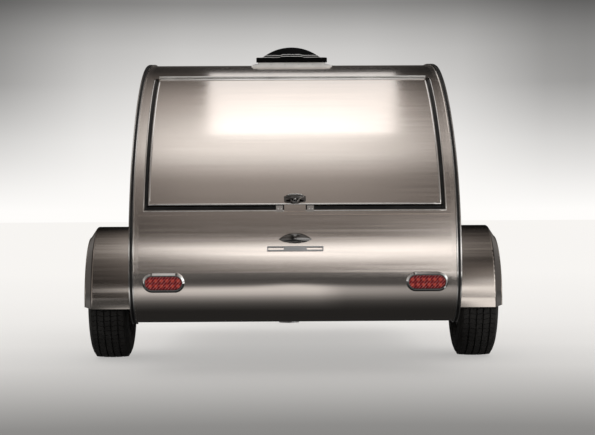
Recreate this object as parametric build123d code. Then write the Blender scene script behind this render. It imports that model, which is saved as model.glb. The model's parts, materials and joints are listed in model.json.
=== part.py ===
from build123d import *
import math
import os

# A teardrop trailer: a brushed metal cabin on two wheels, with a galley hatch across its tail.
# Millimetres. +Y is the direction of travel, +X is the trailer's right, +Z is up, and the ground is z = 0.
# While the pieces are made, y = 0 is the rearmost line of the skin. They are moved to the origin at the end.

# Body
BODY_LENGTH = 3020.0
BODY_HEIGHT = 1345.0
BODY_WIDTH = 1524.0
BODY_BOTTOM = 238.0
WALL = 38.0
SHELL = 35.0
TOUCH = 0.3

# Side outline: radii and turns of its arcs, from the tail's lower edge over the roof to the chin
TUCK_R = 242.0
HAUNCH_TURN = 44.0
BACK_R = 1517.0
BACK_TURN = 36.0
CROWN_TURN = 14.0
BROW_R = 892.0
BROW_TURN = 30.0
NOSE_R = 592.0
CHIN_R = 142.0

# Edge moulding
TRIM_PROUD = 8.0
TRIM_WIDTH = 23.0
TRIM_LEG = 20.0
INSERT_WIDTH = 12.0
INSERT_DEPTH = 3.0
INSERT_SUNK = 0.5

# Galley hatch: how far its hinge lies below the body's top, and its lower edge above the ground
HINGE_DROP = 133.0
HATCH_BOTTOM = 792.0
HATCH_MARGIN = 80.0
HATCH_T = 30.0
HATCH_GAP = 8.0
SIDE_GROOVE = 18.0
SILL_GROOVE = 23.0
FRAME_BAND = 27.5
SILL_BAND = 21.0
FRAME_PROUD = 2.0
FRAME_CORNER = 14.0
GASKET_WIDTH = 11.0
GASKET_DEPTH = 16.0
GASKET_INSET = 5.0
BEAD_WIDTH = 7.0
BEAD_PROUD = 3.0
HINGE_BARREL_R = 5.0
HINGE_LEAF = 20.0
HINGE_LEAF_T = 2.0

# Handle, latch plate and clips, from the hatch's lower edge
HANDLE_RISE = 28.0
HANDLE_LENGTH = 102.0
HANDLE_PLATE_WIDTH = 30.0
HANDLE_PLATE_T = 3.0
HANDLE_STAND = 42.0
HANDLE_WAIST = 18.0
HANDLE_WIDTH = 22.0
HANDLE_T = 16.0
BOSS_R = 23.0
BOSS_HEIGHT = 10.0
STEM_R = 11.0
LATCH_PLATE_WIDTH = 100.0
LATCH_PLATE_T = 2.0
LATCH_LAP = 8.0
CLIP_WIDTH = 32.0
CLIP_T = 3.0
CLIP_LAP = 10.0
CLIP_GAP = 6.0

# Tail lamps
TAIL_LAMP_HEIGHT = 436.0
TAIL_LAMP_MARGIN = 153.0
BEZEL_LENGTH = 195.0
BEZEL_WIDTH = 92.0
BEZEL_STAND = 16.0
BEZEL_SLOPE = 9.0
LENS_LENGTH = 170.0
LENS_WIDTH = 62.0
LENS_SUNK = 5.0
LENS_FIT = 0.5
LED_R = 10.0
LED_HEIGHT = 8.0
LED_PITCH = 25.0
LED_COLUMNS = 5

# Plate lamp and plate bracket: how far they lie below the seam and each other
PLATE_LAMP_DROP = 115.0
PLATE_LAMP_LENGTH = 155.0
PLATE_LAMP_R = 30.0
PLATE_LAMP_SHELL = 3.0
PLATE_LAMP_TILT = 35.0
PLATE_BASE_WIDTH = 26.0
PLATE_BASE_T = 4.0
PLATE_LENS_LENGTH = 54.0
PLATE_LENS_WIDTH = 16.0
PLATE_LENS_T = 9.0
BRACKET_DROP = 42.0
BRACKET_LENGTH = 260.0
BRACKET_WIDTH = 23.0
BRACKET_T = 2.5
BRACKET_STAND = 12.0
BRACKET_CORNER = 3.0
BRACKET_TAB = 70.0
SLOT_PITCH = 178.0
SLOT_LENGTH = 74.0
SLOT_R = 5.0

# Chassis
RAIL_WIDTH = 50.0
RAIL_HEIGHT = 75.0
RAIL_TOP = 375.0
RAIL_INSET = 224.0
RAIL_REAR = 160.0
FRONT_CROSS_SETBACK = 130.0
FRONT_CROSS_GAP = 20.0
CROSS_COUNT = 4
FLOOR_T = 18.0
FLOOR_REAR = 80.0
TONGUE_LENGTH = 1000.0
TONGUE_OUT = 20.0
TONGUE_STEP = 120.0
TONGUE_LAP = 8.0

# Coupler
BALL_HEIGHT = 400.0
SOCKET_R = 25.6
SOCKET_DEPTH = 30.0
SOCKET_WALL = 14.0
COUPLER_ROOF = 12.0
COUPLER_NOSE = 46.0
COUPLER_LENGTH = 330.0
COUPLER_LAP = 24.0
COUPLER_SHOULDER = 59.0
COUPLER_SETBACK = 60.0
COUPLER_STEP = 10.0
FLANGE_T = 6.0
LATCH_SETBACK = 20.0
LATCH_LENGTH = 130.0
LATCH_WIDTH = 20.0
LATCH_RISE = 26.0
LATCH_T = 10.0
LATCH_GRIP_R = 9.0

# Tongue jack
JACK_SETBACK = 375.0
JACK_PLATE_LENGTH = 148.0
JACK_PLATE_T = 8.0
JACK_R = 28.5
JACK_WALL = 4.0
JACK_TOP = 770.0
JACK_BOTTOM = 260.0
JACK_COLLAR_R = 63.0
JACK_HEAD = 34.0
JACK_HEAD_R = 35.5
LEG_FIT = 0.3
LEG_TRAVEL = 200.0
LEG_SPARE = 10.0
FOOT_R = 70.0
FOOT_T = 8.0
FOOT_CONE = 26.0
FOOT_CONE_R = 38.0
CRANK_REACH = 170.0
CRANK_RISE = 26.0
CRANK_WIDTH = 16.0
CRANK_T = 10.0
GRIP_R = 13.0
GRIP_LENGTH = 86.0

# Running gear
AXLE_Y = 1050.0
WHEEL_OUT = 190.0
TYRE_R = 320.0
TYRE_WIDTH = 205.0
TREAD_SHARE = 0.75
TYRE_WALL = 10.0
TREAD_T = 16.0
GROOVE_WIDTH = 7.0
GROOVE_DEPTH = 7.0
GROOVES = (-0.62, -0.21, 0.21, 0.62)
RIM_R = 178.0
RIM_WIDTH = 156.0
RIM_LIP = 10.0
RIM_WALL = 6.0
RIM_WELL = 22.0
RIM_FACE_INSET = 30.0
BEAD_FIT = 0.3
SPOKES = 5
OPENING_LENGTH = 84.0
OPENING_WIDTH = 52.0
OPENING_AT = 122.0
DISC_T = 34.0
HUB_R = 62.0
HUB_REACH = 92.0
BORE_R = 30.0
BORE_STOP = 18.0
CAP_R = 33.0
CAP_INSET = 8.0
CAP_LENGTH = 26.0
LUGS = 5
LUG_CIRCLE_R = 57.0
LUG_R = 10.5
LUG_LENGTH = 18.0
SPINDLE_R = 16.0
SPINDLE_FIT = 0.3
BEAM_R = 30.0
BEAM_AHEAD = 150.0
BEAM_DROP = 10.0
BEAM_BRACKET_LENGTH = 120.0
BEAM_BRACKET_WIDTH = 70.0
ARM_GAP = 10.0
ARM_T = 25.0
ARM_BOSS = 8.0

# Fenders
FENDER_R = 370.0
FENDER_WIDTH = 264.0
FENDER_CORNER = 14.0
FENDER_SKIRT_OUT = 38.0
FENDER_SKIRT_IN = 58.0
FENDER_T = 2.5
FENDER_WRAP = 7.0
FENDER_BEAD_R = 3.5
ARCH_LENGTH = 480.0
ARCH_RISE = 110.0
ARCH_CORNER = 60.0

# Side doors: from the fender forwards, and from the floor up to below the body's top
DOOR_AHEAD = 80.0
DOOR_LENGTH = 660.0
DOOR_SILL = 37.0
DOOR_HEAD = 183.0
DOOR_CORNER = 90.0
DOOR_GAP = 8.0
DOOR_PROUD = 2.0
DOOR_FRAME_WIDTH = 28.0
DOOR_FRAME_T = 4.0
DOOR_AXIS_OUT = 11.0
DOOR_HINGE_INSET = 180.0
KNUCKLE_R = 6.0
KNUCKLE_LENGTH = 38.0
HINGE_PLATE = 26.0
WINDOW_LENGTH = 440.0
WINDOW_HEAD = 70.0
WINDOW_SHARE = 0.412
WINDOW_CORNER = 70.0
WINDOW_FRAME = 22.0
WINDOW_FRAME_T = 4.0
GLASS_T = 5.0
LOCK_INSET = 62.0
LOCK_BELOW = 3.0
LOCK_LENGTH = 70.0
LOCK_HEIGHT = 110.0
LOCK_PLATE_T = 5.0
LEVER_LENGTH = 84.0
LEVER_WIDTH = 22.0
LEVER_T = 9.0
LEVER_STAND = 18.0
KEYHOLE_R = 8.0

# Roof vent
VENT_AHEAD = 506.0
VENT_FLANGE = 416.0
VENT_FLANGE_T = 6.0
VENT_FLANGE_CORNER = 26.0
VENT_OPENING = 350.0
VENT_CURB = 362.0
VENT_CURB_HEIGHT = 34.0
VENT_CURB_CORNER = 16.0
VENT_LID = 378.0
VENT_LID_LIFT = 19.0
VENT_LID_HEIGHT = 25.0
VENT_LID_CORNER = 22.0
VENT_WALL = 3.0
VENT_HINGE_R = 5.0
VENT_HINGE_LENGTH = 240.0
VENT_LUG = 18.0
DOME_R = 155.0
DOME_HEIGHT = 50.0
DOME_STEP = 5.0
DOME_LEDGE = 4.0

# Cabin and galley
BULKHEAD_AHEAD = 61.0
BULKHEAD_T = 18.0
COUNTER_DROP = 14.0
COUNTER_T = 22.0
COUNTER_GAP = 26.0
COUNTER_LIP = 8.0
TOE_SPACE = 60.0
COOKING_SHARE = 0.405
CABINET_DEPTH = 300.0
CABINET_ROOF_GAP = 25.0
CABINET_DOORS = 3
CABINET_DOOR_SHARE = 0.245
CABINET_RAIL = 25.0
CABINET_RECESS = 6.0
MATTRESS_T = 105.0
MATTRESS_GAP = 12.0
MATTRESS_CORNER = 60.0

# Gas struts: the studs' places from the hatch's hinge, when the hatch is shut
STRUT_SIDE_GAP = 16.0
STRUT_FOOT_AHEAD = 42.0
STRUT_FOOT_DROP = 116.0
STRUT_HEAD_BEHIND = 182.0
STRUT_HEAD_DROP = 157.0
STRUT_BODY_R = 10.0
STRUT_ROD_R = 4.5
STRUT_ROD_FIT = 0.5
STRUT_SHORT = 26.0
STRUT_BASE = 14.0
STUD_R = 5.0
STUD_FIT = 0.1
EYE_R = 10.0
EYE_HALF = 5.0
STUD_PLATE = 34.0
STUD_PLATE_HEIGHT = 60.0
STUD_PLATE_T = 4.0
STUD_ARM = 24.0

# Side marker lamps
MARKER_LENGTH = 70.0
MARKER_WIDTH = 30.0
MARKER_T = 14.0
MARKER_CORNER = 8.0
MARKER_EDGE = 5.0
MARKER_FRONT_SETBACK = 240.0
MARKER_REAR_SETBACK = 330.0
MARKER_Z = 560.0

HALF = BODY_WIDTH / 2
INNER = HALF - WALL
BODY_TOP = BODY_BOTTOM + BODY_HEIGHT
SIDES = (("left", -1), ("right", 1))
STANDING = (Align.CENTER, Align.CENTER, Align.MIN)


def out_of(phi):
    """The outward direction (y, z) of the outline where its normal is phi degrees above straight back."""
    a = math.radians(phi)
    return -math.cos(a), math.sin(a)


def along(phi):
    """The direction (y, z) in which the outline runs there, from the tail over the roof to the nose."""
    a = math.radians(phi)
    return math.sin(a), math.cos(a)


def free_radii():
    """The haunch and crown radii with which the arcs add up to the body's height and length."""
    a = math.radians(HAUNCH_TURN)
    b = math.radians(HAUNCH_TURN + BACK_TURN)
    c = math.radians(CROWN_TURN)
    d = math.radians(CROWN_TURN + BROW_TURN)
    length = BODY_LENGTH - BACK_R * (math.cos(a) - math.cos(b))
    length -= BROW_R * (math.sin(d) - math.sin(c)) + NOSE_R * (1 - math.sin(d))
    height = BODY_HEIGHT - TUCK_R - BACK_R * (math.sin(b) - math.sin(a))
    # haunch * h1 + crown * c1 = length, and haunch * h2 + crown * c2 = height
    h1, c1 = 1 - math.cos(a), math.cos(b) + math.sin(c)
    h2, c2 = math.sin(a), 1 - math.sin(b)
    det = h1 * c2 - h2 * c1
    return (length * c2 - height * c1) / det, (h1 * height - h2 * length) / det


def outline_runs():
    """The runs of the side outline: each is (length, radius or None, start normal, centre or start point)."""
    haunch_r, crown_r = free_radii()
    nose_turn = 90.0 - CROWN_TURN - BROW_TURN
    arcs = [
        # radius, turn
        (TUCK_R, 90.0),
        (haunch_r, HAUNCH_TURN),
        (BACK_R, BACK_TURN),
        (crown_r, 90.0 - HAUNCH_TURN - BACK_TURN + CROWN_TURN),
        (BROW_R, BROW_TURN),
        (NOSE_R, nose_turn),
        (None, 0.0),
        (CHIN_R, 90.0),
    ]
    runs, phi, y, z = [], -90.0, TUCK_R, BODY_BOTTOM
    for radius, turn in arcs:
        if radius is None:
            length = z - BODY_BOTTOM - CHIN_R
            runs.append((length, None, phi, (y, z)))
            z -= length
            continue
        n = out_of(phi)
        centre = (y - radius * n[0], z - radius * n[1])
        runs.append((radius * math.radians(turn), radius, phi, centre))
        phi += turn
        n = out_of(phi)
        y, z = centre[0] + radius * n[0], centre[1] + radius * n[1]
    return runs


RUNS = outline_runs()
OUTLINE_END = sum(run[0] for run in RUNS)
TAIL_U = RUNS[0][0]


def spot(u, inset=0.0):
    """(y, z, phi) at the distance u along the skin's outline, inset from the skin."""
    for length, radius, phi, point in RUNS:
        if u <= length or point is RUNS[-1][3]:
            if radius is None:
                t, n = along(phi), out_of(phi)
                return point[0] + t[0] * u - n[0] * inset, point[1] + t[1] * u - n[1] * inset, phi
            phi += math.degrees(u / radius)
            n = out_of(phi)
            return point[0] + (radius - inset) * n[0], point[1] + (radius - inset) * n[1], phi
        u -= length


def solve(low, high, value):
    """The u between low and high where the rising function value(u) crosses 0."""
    for _ in range(60):
        middle = (low + high) / 2
        if value(middle) < 0:
            low = middle
        else:
            high = middle
    return (low + high) / 2


def crown_u():
    return solve(0.0, OUTLINE_END, lambda u: spot(u)[2] - 90.0)


def rear_u(height):
    """Where the tail's skin is at that height."""
    return solve(0.0, crown_u(), lambda u: spot(u)[1] - height)


def front_u(height):
    """Where the nose's skin is at that height."""
    return solve(crown_u(), OUTLINE_END, lambda u: height - spot(u)[1])


def roof_u(y):
    """Where the roof's skin is at that y."""
    return solve(TAIL_U, OUTLINE_END - RUNS[-1][0], lambda u: spot(u)[0] - y)


def run_edges(u0, u1, inset, x):
    """Edges at x along the outline from u0 to u1."""
    stops, total = [u0], 0.0
    for run in RUNS:
        total += run[0]
        if u0 + 1e-6 < total < u1 - 1e-6:
            stops.append(total)
    stops.append(u1)
    edges = []
    for a, b in zip(stops, stops[1:]):
        points = [(x, *spot(u, inset)[:2]) for u in (a, (a + b) / 2, b)]
        straight = abs(spot(a)[2] - spot(b)[2]) < 1e-9
        if straight:
            edges.append(Edge.make_line(points[0], points[2]))
        else:
            edges.append(Edge.make_three_point_arc(*points))
    return edges


def band(x0, x1, u0, u1, outer, inner):
    """A curved slab between two x planes, from u0 to u1 along the outline, between two insets."""
    top = run_edges(u0, u1, outer, x0)
    low = run_edges(u0, u1, inner, x0)
    ends = [Edge.make_line(e @ p, f @ p) for e, f, p in ((top[0], low[0], 0), (top[-1], low[-1], 1))]
    return extrude(Face(Wire(top + low + ends)), amount=x1 - x0, dir=(1, 0, 0))


def whole(x0, x1, inset=0.0):
    """The body's full side shape between two x planes."""
    edges = run_edges(0.0, OUTLINE_END, inset, x0)
    edges.append(Edge.make_line(edges[-1] @ 1, edges[0] @ 0))
    return extrude(Face(Wire(edges)), amount=x1 - x0, dir=(1, 0, 0))


def block(x0, x1, y0, y1, z0, z1):
    """A box from its corners."""
    return Pos((x0 + x1) / 2, (y0 + y1) / 2, (z0 + z1) / 2) * Box(abs(x1 - x0), abs(y1 - y0), abs(z1 - z0))


def side_plate(x0, x1, y, z, length, height, corner):
    """A plate facing sideways, with rounded corners."""
    face = Plane.YZ.offset(x0) * Pos(y, z) * RectangleRounded(length, height, corner)
    return extrude(face, amount=x1 - x0)


def rod(start, end, radius):
    """A round bar between two points."""
    a, b = Vector(start), Vector(end)
    return Plane(origin=a, z_dir=b - a) * Cylinder(radius, (b - a).length, align=STANDING)


def upright(x, y, z0, z1, radius):
    """A round bar between two heights."""
    return Pos(x, y, z0) * Cylinder(radius, z1 - z0, align=STANDING)


def on_skin(u, x=0.0, lift=0.0):
    """The plane on the skin at u, with its z outward and its y up along the outline."""
    y, z, phi = spot(u, -lift)
    n = out_of(phi)
    return Plane(origin=(x, y, z), x_dir=(1, 0, 0), z_dir=(0, n[0], n[1]))


def plan(points, z0, z1):
    """A plate of that outline in x and y, between two heights."""
    return Pos(0, 0, z0) * extrude(make_face(Polyline(*points, close=True)), amount=z1 - z0)


def fuse(pieces):
    first, *rest = pieces
    for piece in rest:
        first = first + piece
    return first


def flip(shape):
    return mirror(shape, about=Plane.YZ)


def pair(shape):
    """That right-hand shape and its mirror image, as two solids of one node."""
    return Compound(children=[shape, flip(shape)])


# Chassis

FRONT_CROSS_Y = BODY_LENGTH - FRONT_CROSS_SETBACK
FRONT_CROSS_END = FRONT_CROSS_Y + RAIL_WIDTH
RAIL_X = INNER - RAIL_INSET
RAIL_BOTTOM = RAIL_TOP - RAIL_HEIGHT
BALL_Y = BODY_LENGTH + TONGUE_LENGTH
TONGUE_END = BALL_Y - TONGUE_STEP
BEAM_Y = AXLE_Y + BEAM_AHEAD
BEAM_Z = RAIL_BOTTOM - BEAM_DROP - BEAM_R
JACK_Y = BALL_Y - JACK_SETBACK
WHEEL_X = HALF + WHEEL_OUT
FLOOR_TOP = RAIL_TOP + FLOOR_T


def tongue_spread():
    """Half the distance between the tongue tubes' centres where they meet the front cross tube."""
    return RAIL_X + TONGUE_OUT


def tongue_half():
    """Half a tongue tube's width, measured across the trailer."""
    slope = math.atan2(tongue_spread(), TONGUE_END - FRONT_CROSS_END)
    return RAIL_WIDTH / 2 / math.cos(slope)


def tongue_x(y):
    """Centre of the right tongue tube at y."""
    share = (TONGUE_END - y) / (TONGUE_END - FRONT_CROSS_END)
    front = tongue_half() - TONGUE_LAP
    return front + share * (tongue_spread() - front)


def across(y0, half0, y1, half1, z0, z1):
    """A plate that tapers evenly from one width to another along y."""
    return plan([(-half0, y0), (half0, y0), (half1, y1), (-half1, y1)], z0, z1)


def frame_rails():
    """The chassis rails under the side walls' inner faces."""
    half = RAIL_WIDTH / 2
    return pair(block(RAIL_X - half, RAIL_X + half, RAIL_REAR, FRONT_CROSS_Y, RAIL_BOTTOM, RAIL_TOP))


def frame_crossmembers():
    """Cross tubes between the rails, and a wide one across their front end."""
    inside = RAIL_X - RAIL_WIDTH / 2
    step = (FRONT_CROSS_Y - RAIL_REAR) / CROSS_COUNT
    tubes = []
    for i in range(CROSS_COUNT):
        y = RAIL_REAR + i * step
        tubes.append(block(-inside, inside, y, y + RAIL_WIDTH, RAIL_BOTTOM, RAIL_TOP))
    wide = INNER - FRONT_CROSS_GAP
    tubes.append(block(-wide, wide, FRONT_CROSS_Y, FRONT_CROSS_END, RAIL_BOTTOM, RAIL_TOP))
    return Compound(children=tubes)


def tongue_tube():
    """The right one of the two tubes that meet at the coupler."""
    half = tongue_half()
    rear, front = tongue_x(FRONT_CROSS_END), tongue_x(TONGUE_END)
    corners = [
        (rear - half, FRONT_CROSS_END),
        (rear + half, FRONT_CROSS_END),
        (front + half, TONGUE_END),
        (front - half, TONGUE_END),
    ]
    return plan(corners, RAIL_BOTTOM, RAIL_TOP)


def tongue_frame():
    """The two tongue tubes, joined at the coupler and by the plate that carries the jack."""
    rear, front = JACK_Y - JACK_PLATE_LENGTH / 2, JACK_Y + JACK_PLATE_LENGTH / 2
    plate = across(rear, tongue_x(rear), front, tongue_x(front), RAIL_TOP, RAIL_TOP + JACK_PLATE_T)
    tube = tongue_tube()
    frame = fuse([tube, flip(tube), plate])
    return frame - upright(0, JACK_Y, RAIL_BOTTOM - TOUCH, RAIL_TOP + 2 * JACK_PLATE_T, JACK_R)


COUPLER_REAR = BALL_Y + COUPLER_NOSE - COUPLER_LENGTH
COUPLER_HALF = SOCKET_R + SOCKET_WALL
COUPLER_TOP = BALL_HEIGHT + SOCKET_R + COUPLER_ROOF
SOCKET_MOUTH = BALL_HEIGHT - SOCKET_DEPTH


def coupler():
    """A ball coupler: a flange on the tongue tubes, a tapering housing and a nose with the ball's socket."""
    rear = COUPLER_REAR
    flange_rear, flange_front = tongue_x(rear) + COUPLER_LAP, tongue_x(TONGUE_END) + COUPLER_LAP
    flange = across(rear, flange_rear, TONGUE_END, flange_front, RAIL_TOP, RAIL_TOP + FLANGE_T)
    start, end = rear + COUPLER_SETBACK, TONGUE_END + TOUCH
    housing = across(start, COUPLER_SHOULDER, end, COUPLER_HALF, RAIL_TOP, COUPLER_TOP - COUPLER_STEP)
    neck = block(-COUPLER_HALF, COUPLER_HALF, end, BALL_Y, SOCKET_MOUTH, COUPLER_TOP)
    nose = extrude(Ellipse(COUPLER_HALF, COUPLER_NOSE), amount=COUPLER_TOP - SOCKET_MOUTH)
    front = block(-COUPLER_HALF, COUPLER_HALF, BALL_Y, BALL_Y + COUPLER_NOSE, SOCKET_MOUTH, COUPLER_TOP)
    shell = flange + housing + neck + (Pos(0, BALL_Y, SOCKET_MOUTH) * nose & front)
    socket = Pos(0, BALL_Y, BALL_HEIGHT) * Sphere(SOCKET_R)
    shell -= socket + upright(0, BALL_Y, SOCKET_MOUTH - TOUCH, BALL_HEIGHT, SOCKET_R)
    return shell + coupler_latch()


def coupler_latch():
    """The lever that locks the ball, on its ears."""
    half, top, y = LATCH_WIDTH / 2, COUPLER_TOP - COUPLER_STEP, TONGUE_END - LATCH_SETBACK
    ears = block(-half, half, y - 2 * half, y, top, top + LATCH_RISE)
    lever = block(-half, half, y - LATCH_LENGTH, y, top + LATCH_RISE - LATCH_T, top + LATCH_RISE)
    z = top + LATCH_RISE - LATCH_T / 2
    grip = rod((-2 * half, y - LATCH_LENGTH, z), (2 * half, y - LATCH_LENGTH, z), LATCH_GRIP_R)
    return ears + lever + grip


LEG_R = JACK_R - JACK_WALL - LEG_FIT
JACK_CEILING = JACK_TOP - JACK_WALL


def jack_tube():
    """The jack's fixed tube, collar and head with the crank. The leg slides inside it."""
    tube = upright(0, JACK_Y, JACK_BOTTOM, JACK_TOP, JACK_R)
    collar = upright(0, JACK_Y, RAIL_TOP + JACK_PLATE_T, RAIL_TOP + 2 * JACK_PLATE_T, JACK_COLLAR_R)
    head = upright(0, JACK_Y, JACK_TOP, JACK_TOP + JACK_HEAD, JACK_HEAD_R)
    head = fillet(head.edges().group_by(Axis.Z)[-1], JACK_HEAD_R / 4)
    bore = upright(0, JACK_Y, JACK_BOTTOM - TOUCH, JACK_CEILING, JACK_R - JACK_WALL)
    return tube + collar + head - bore + jack_crank()


def jack_crank():
    """The crank on top of the jack, with its upright grip."""
    z = JACK_TOP + JACK_HEAD
    end = JACK_Y - CRANK_REACH
    half = CRANK_WIDTH / 2
    stem = upright(0, JACK_Y, z, z + CRANK_RISE, half)
    arm = block(-half, half, end, JACK_Y, z + CRANK_RISE - CRANK_T, z + CRANK_RISE)
    arm += upright(0, JACK_Y, z + CRANK_RISE - CRANK_T, z + CRANK_RISE, half)
    arm += upright(0, end, z + CRANK_RISE - CRANK_T, z + CRANK_RISE, half)
    grip = upright(0, end, z + CRANK_RISE, z + CRANK_RISE + GRIP_LENGTH, GRIP_R)
    return stem + arm + fillet(grip.edges().group_by(Axis.Z)[-1], GRIP_R / 2)


def jack_leg():
    """The sliding leg and its foot plate."""
    leg = upright(0, JACK_Y, 0, JACK_CEILING - LEG_SPARE - LEG_TRAVEL, LEG_R)
    plate = upright(0, JACK_Y, 0, FOOT_T, FOOT_R)
    cone = Pos(0, JACK_Y, FOOT_T) * Cone(FOOT_CONE_R, LEG_R, FOOT_CONE, align=STANDING)
    return leg + plate + cone


# Running gear

ARM_X = HALF + ARM_GAP


def axle_beam():
    """The torsion axle's tube and the brackets that hold it under the rails."""
    beam = rod((-ARM_X, BEAM_Y, BEAM_Z), (ARM_X, BEAM_Y, BEAM_Z), BEAM_R)
    half, length = BEAM_BRACKET_WIDTH / 2, BEAM_BRACKET_LENGTH / 2
    for _, s in SIDES:
        x = s * RAIL_X
        beam += block(x - half, x + half, BEAM_Y - length, BEAM_Y + length, BEAM_Z, RAIL_BOTTOM)
    return beam


def torsion_arms():
    """The trailing arms, each with the spindle on its end that carries a wheel."""
    end = ARM_X + ARM_T
    boss = rod((ARM_X, BEAM_Y, BEAM_Z), (end, BEAM_Y, BEAM_Z), BEAM_R + ARM_BOSS)
    tip = rod((ARM_X, AXLE_Y, TYRE_R), (end, AXLE_Y, TYRE_R), BEAM_R)
    dy, dz = AXLE_Y - BEAM_Y, TYRE_R - BEAM_Z
    turn = Rot(math.degrees(math.atan2(dz, dy)), 0, 0)
    middle = Pos((ARM_X + end) / 2, (AXLE_Y + BEAM_Y) / 2, (TYRE_R + BEAM_Z) / 2)
    web = middle * (turn * Box(ARM_T, math.hypot(dy, dz), 2 * BEAM_R - ARM_BOSS))
    spindle = rod((end, AXLE_Y, TYRE_R), (WHEEL_X - BORE_STOP - TOUCH, AXLE_Y, TYRE_R), SPINDLE_R)
    return pair(boss + tip + web + spindle)


def turned(points):
    """A solid turned about the wheel's axis, from points of (offset from the wheel's middle, radius)."""
    face = make_face(Polyline(*[(WHEEL_X + dx, AXLE_Y, TYRE_R + r) for dx, r in points], close=True))
    return revolve(face, Axis((0, AXLE_Y, TYRE_R), (1, 0, 0)), 360)


def tyre(side):
    """A hollow road tyre with rounded shoulders and grooves round its tread."""
    half, tread = TYRE_WIDTH / 2, TYRE_WIDTH * TREAD_SHARE / 2
    bulge = (TYRE_R + RIM_R) / 2
    seat = RIM_WIDTH / 2 - RIM_WALL + BEAD_FIT
    bead, lip = RIM_R - BEAD_FIT, RIM_R + RIM_LIP + BEAD_FIT
    outside = [
        (seat - 2 * BEAD_FIT, bead),
        (seat - 2 * BEAD_FIT, lip),
        (seat + RIM_LIP, lip + RIM_WALL),
        (half, bulge),
        (half - 0.08 * TYRE_WIDTH / 2, TYRE_R - 1.6 * TREAD_T),
        (tread + 0.25 * TREAD_T, TYRE_R - 0.5 * TREAD_T),
        (tread - 0.5 * TREAD_T, TYRE_R - 0.12 * TREAD_T),
        (0, TYRE_R),
    ]
    inside = [
        (0, TYRE_R - TREAD_T),
        (tread - 0.5 * TREAD_T, TYRE_R - 1.12 * TREAD_T),
        (half - 2 * TYRE_WALL, TYRE_R - 1.9 * TREAD_T),
        (half - TYRE_WALL, bulge),
        (seat - BEAD_FIT, lip + TYRE_WALL),
        (seat - TREAD_T, lip),
        (seat - TREAD_T, bead),
    ]
    ring = turned(outside + inside) + turned([(-dx, r) for dx, r in outside + inside])
    g, floor, above = GROOVE_WIDTH / 2, TYRE_R - GROOVE_DEPTH, TYRE_R + GROOVE_DEPTH
    for share in GROOVES:
        middle = tread * share
        ring -= turned([(middle - g, floor), (middle + g, floor), (middle + g, above), (middle - g, above)])
    return ring if side > 0 else flip(ring)


DISC_FACE = RIM_WIDTH / 2 - RIM_FACE_INSET
DISC_BACK = DISC_FACE - DISC_T + CAP_INSET


def rim(side):
    """A cast wheel: a barrel with a drop well, and a disc with wide openings between its spokes."""
    w, out, seat, well = RIM_WIDTH / 2, RIM_R + RIM_LIP, RIM_R - RIM_WALL / 2, RIM_R - RIM_WELL
    inner = [(w - 3 * RIM_LIP, well - RIM_WALL), (w - RIM_LIP, seat - 1.5 * RIM_WALL), (w, seat - RIM_WALL)]
    edge = [(w, out), (w - RIM_WALL, out), (w - RIM_WALL, seat)]
    front = inner + edge + [(w - 2 * RIM_LIP, seat), (w - 4 * RIM_LIP, well)]
    barrel = turned(front + [(-dx, r) for dx, r in reversed(front)])
    face, middle = DISC_FACE, LUG_CIRCLE_R + 2 * LUG_R
    disc = [
        (DISC_BACK, BORE_R),
        (face + CAP_INSET, BORE_R),
        (face + CAP_INSET, middle - LUG_R / 2),
        (face - CAP_INSET, middle + LUG_R),
        (face - CAP_INSET, well - RIM_WALL / 2),
        (DISC_BACK, well - RIM_WALL / 2),
    ]
    disc = turned(disc)
    window = RectangleRounded(OPENING_LENGTH, OPENING_WIDTH, OPENING_WIDTH * 0.46)
    opening = extrude(Plane.YZ * Pos(0, OPENING_AT) * window, amount=RIM_WIDTH)
    for i in range(SPOKES):
        disc -= Pos(WHEEL_X, AXLE_Y, TYRE_R) * (Rot(360 / SPOKES * i, 0, 0) * opening)
    wheel = barrel + disc
    return wheel if side > 0 else flip(wheel)


def hub(side):
    """The hub on the spindle with its cap, and the lug nuts on the rim's face."""
    back = rod((WHEEL_X - HUB_REACH, AXLE_Y, TYRE_R), (WHEEL_X + DISC_BACK, AXLE_Y, TYRE_R), HUB_R)
    face = WHEEL_X + DISC_FACE + CAP_INSET
    boss = rod((WHEEL_X, AXLE_Y, TYRE_R), (face, AXLE_Y, TYRE_R), BORE_R - TOUCH)
    cap = rod((face, AXLE_Y, TYRE_R), (face + CAP_LENGTH, AXLE_Y, TYRE_R), CAP_R)
    cap = fillet(cap.edges().group_by(Axis.X)[-1], CAP_R * 0.4)
    start, end = WHEEL_X - HUB_REACH - TOUCH, WHEEL_X - BORE_STOP
    bore = rod((start, AXLE_Y, TYRE_R), (end, AXLE_Y, TYRE_R), SPINDLE_R + SPINDLE_FIT)
    solids = [(back + boss + cap - bore).solid()]
    for i in range(LUGS):
        a = 2 * math.pi * (i + 0.5) / LUGS
        y, z = AXLE_Y + LUG_CIRCLE_R * math.sin(a), TYRE_R + LUG_CIRCLE_R * math.cos(a)
        nut = extrude(RegularPolygon(LUG_R, 6), amount=LUG_LENGTH)
        nut = Plane(origin=(face, y, z), z_dir=(1, 0, 0)) * nut
        solids.append(chamfer(nut.edges().group_by(Axis.X)[-1], LUG_R * 0.3).solid())
    return Compound(children=solids if side > 0 else [flip(s) for s in solids])


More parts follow.
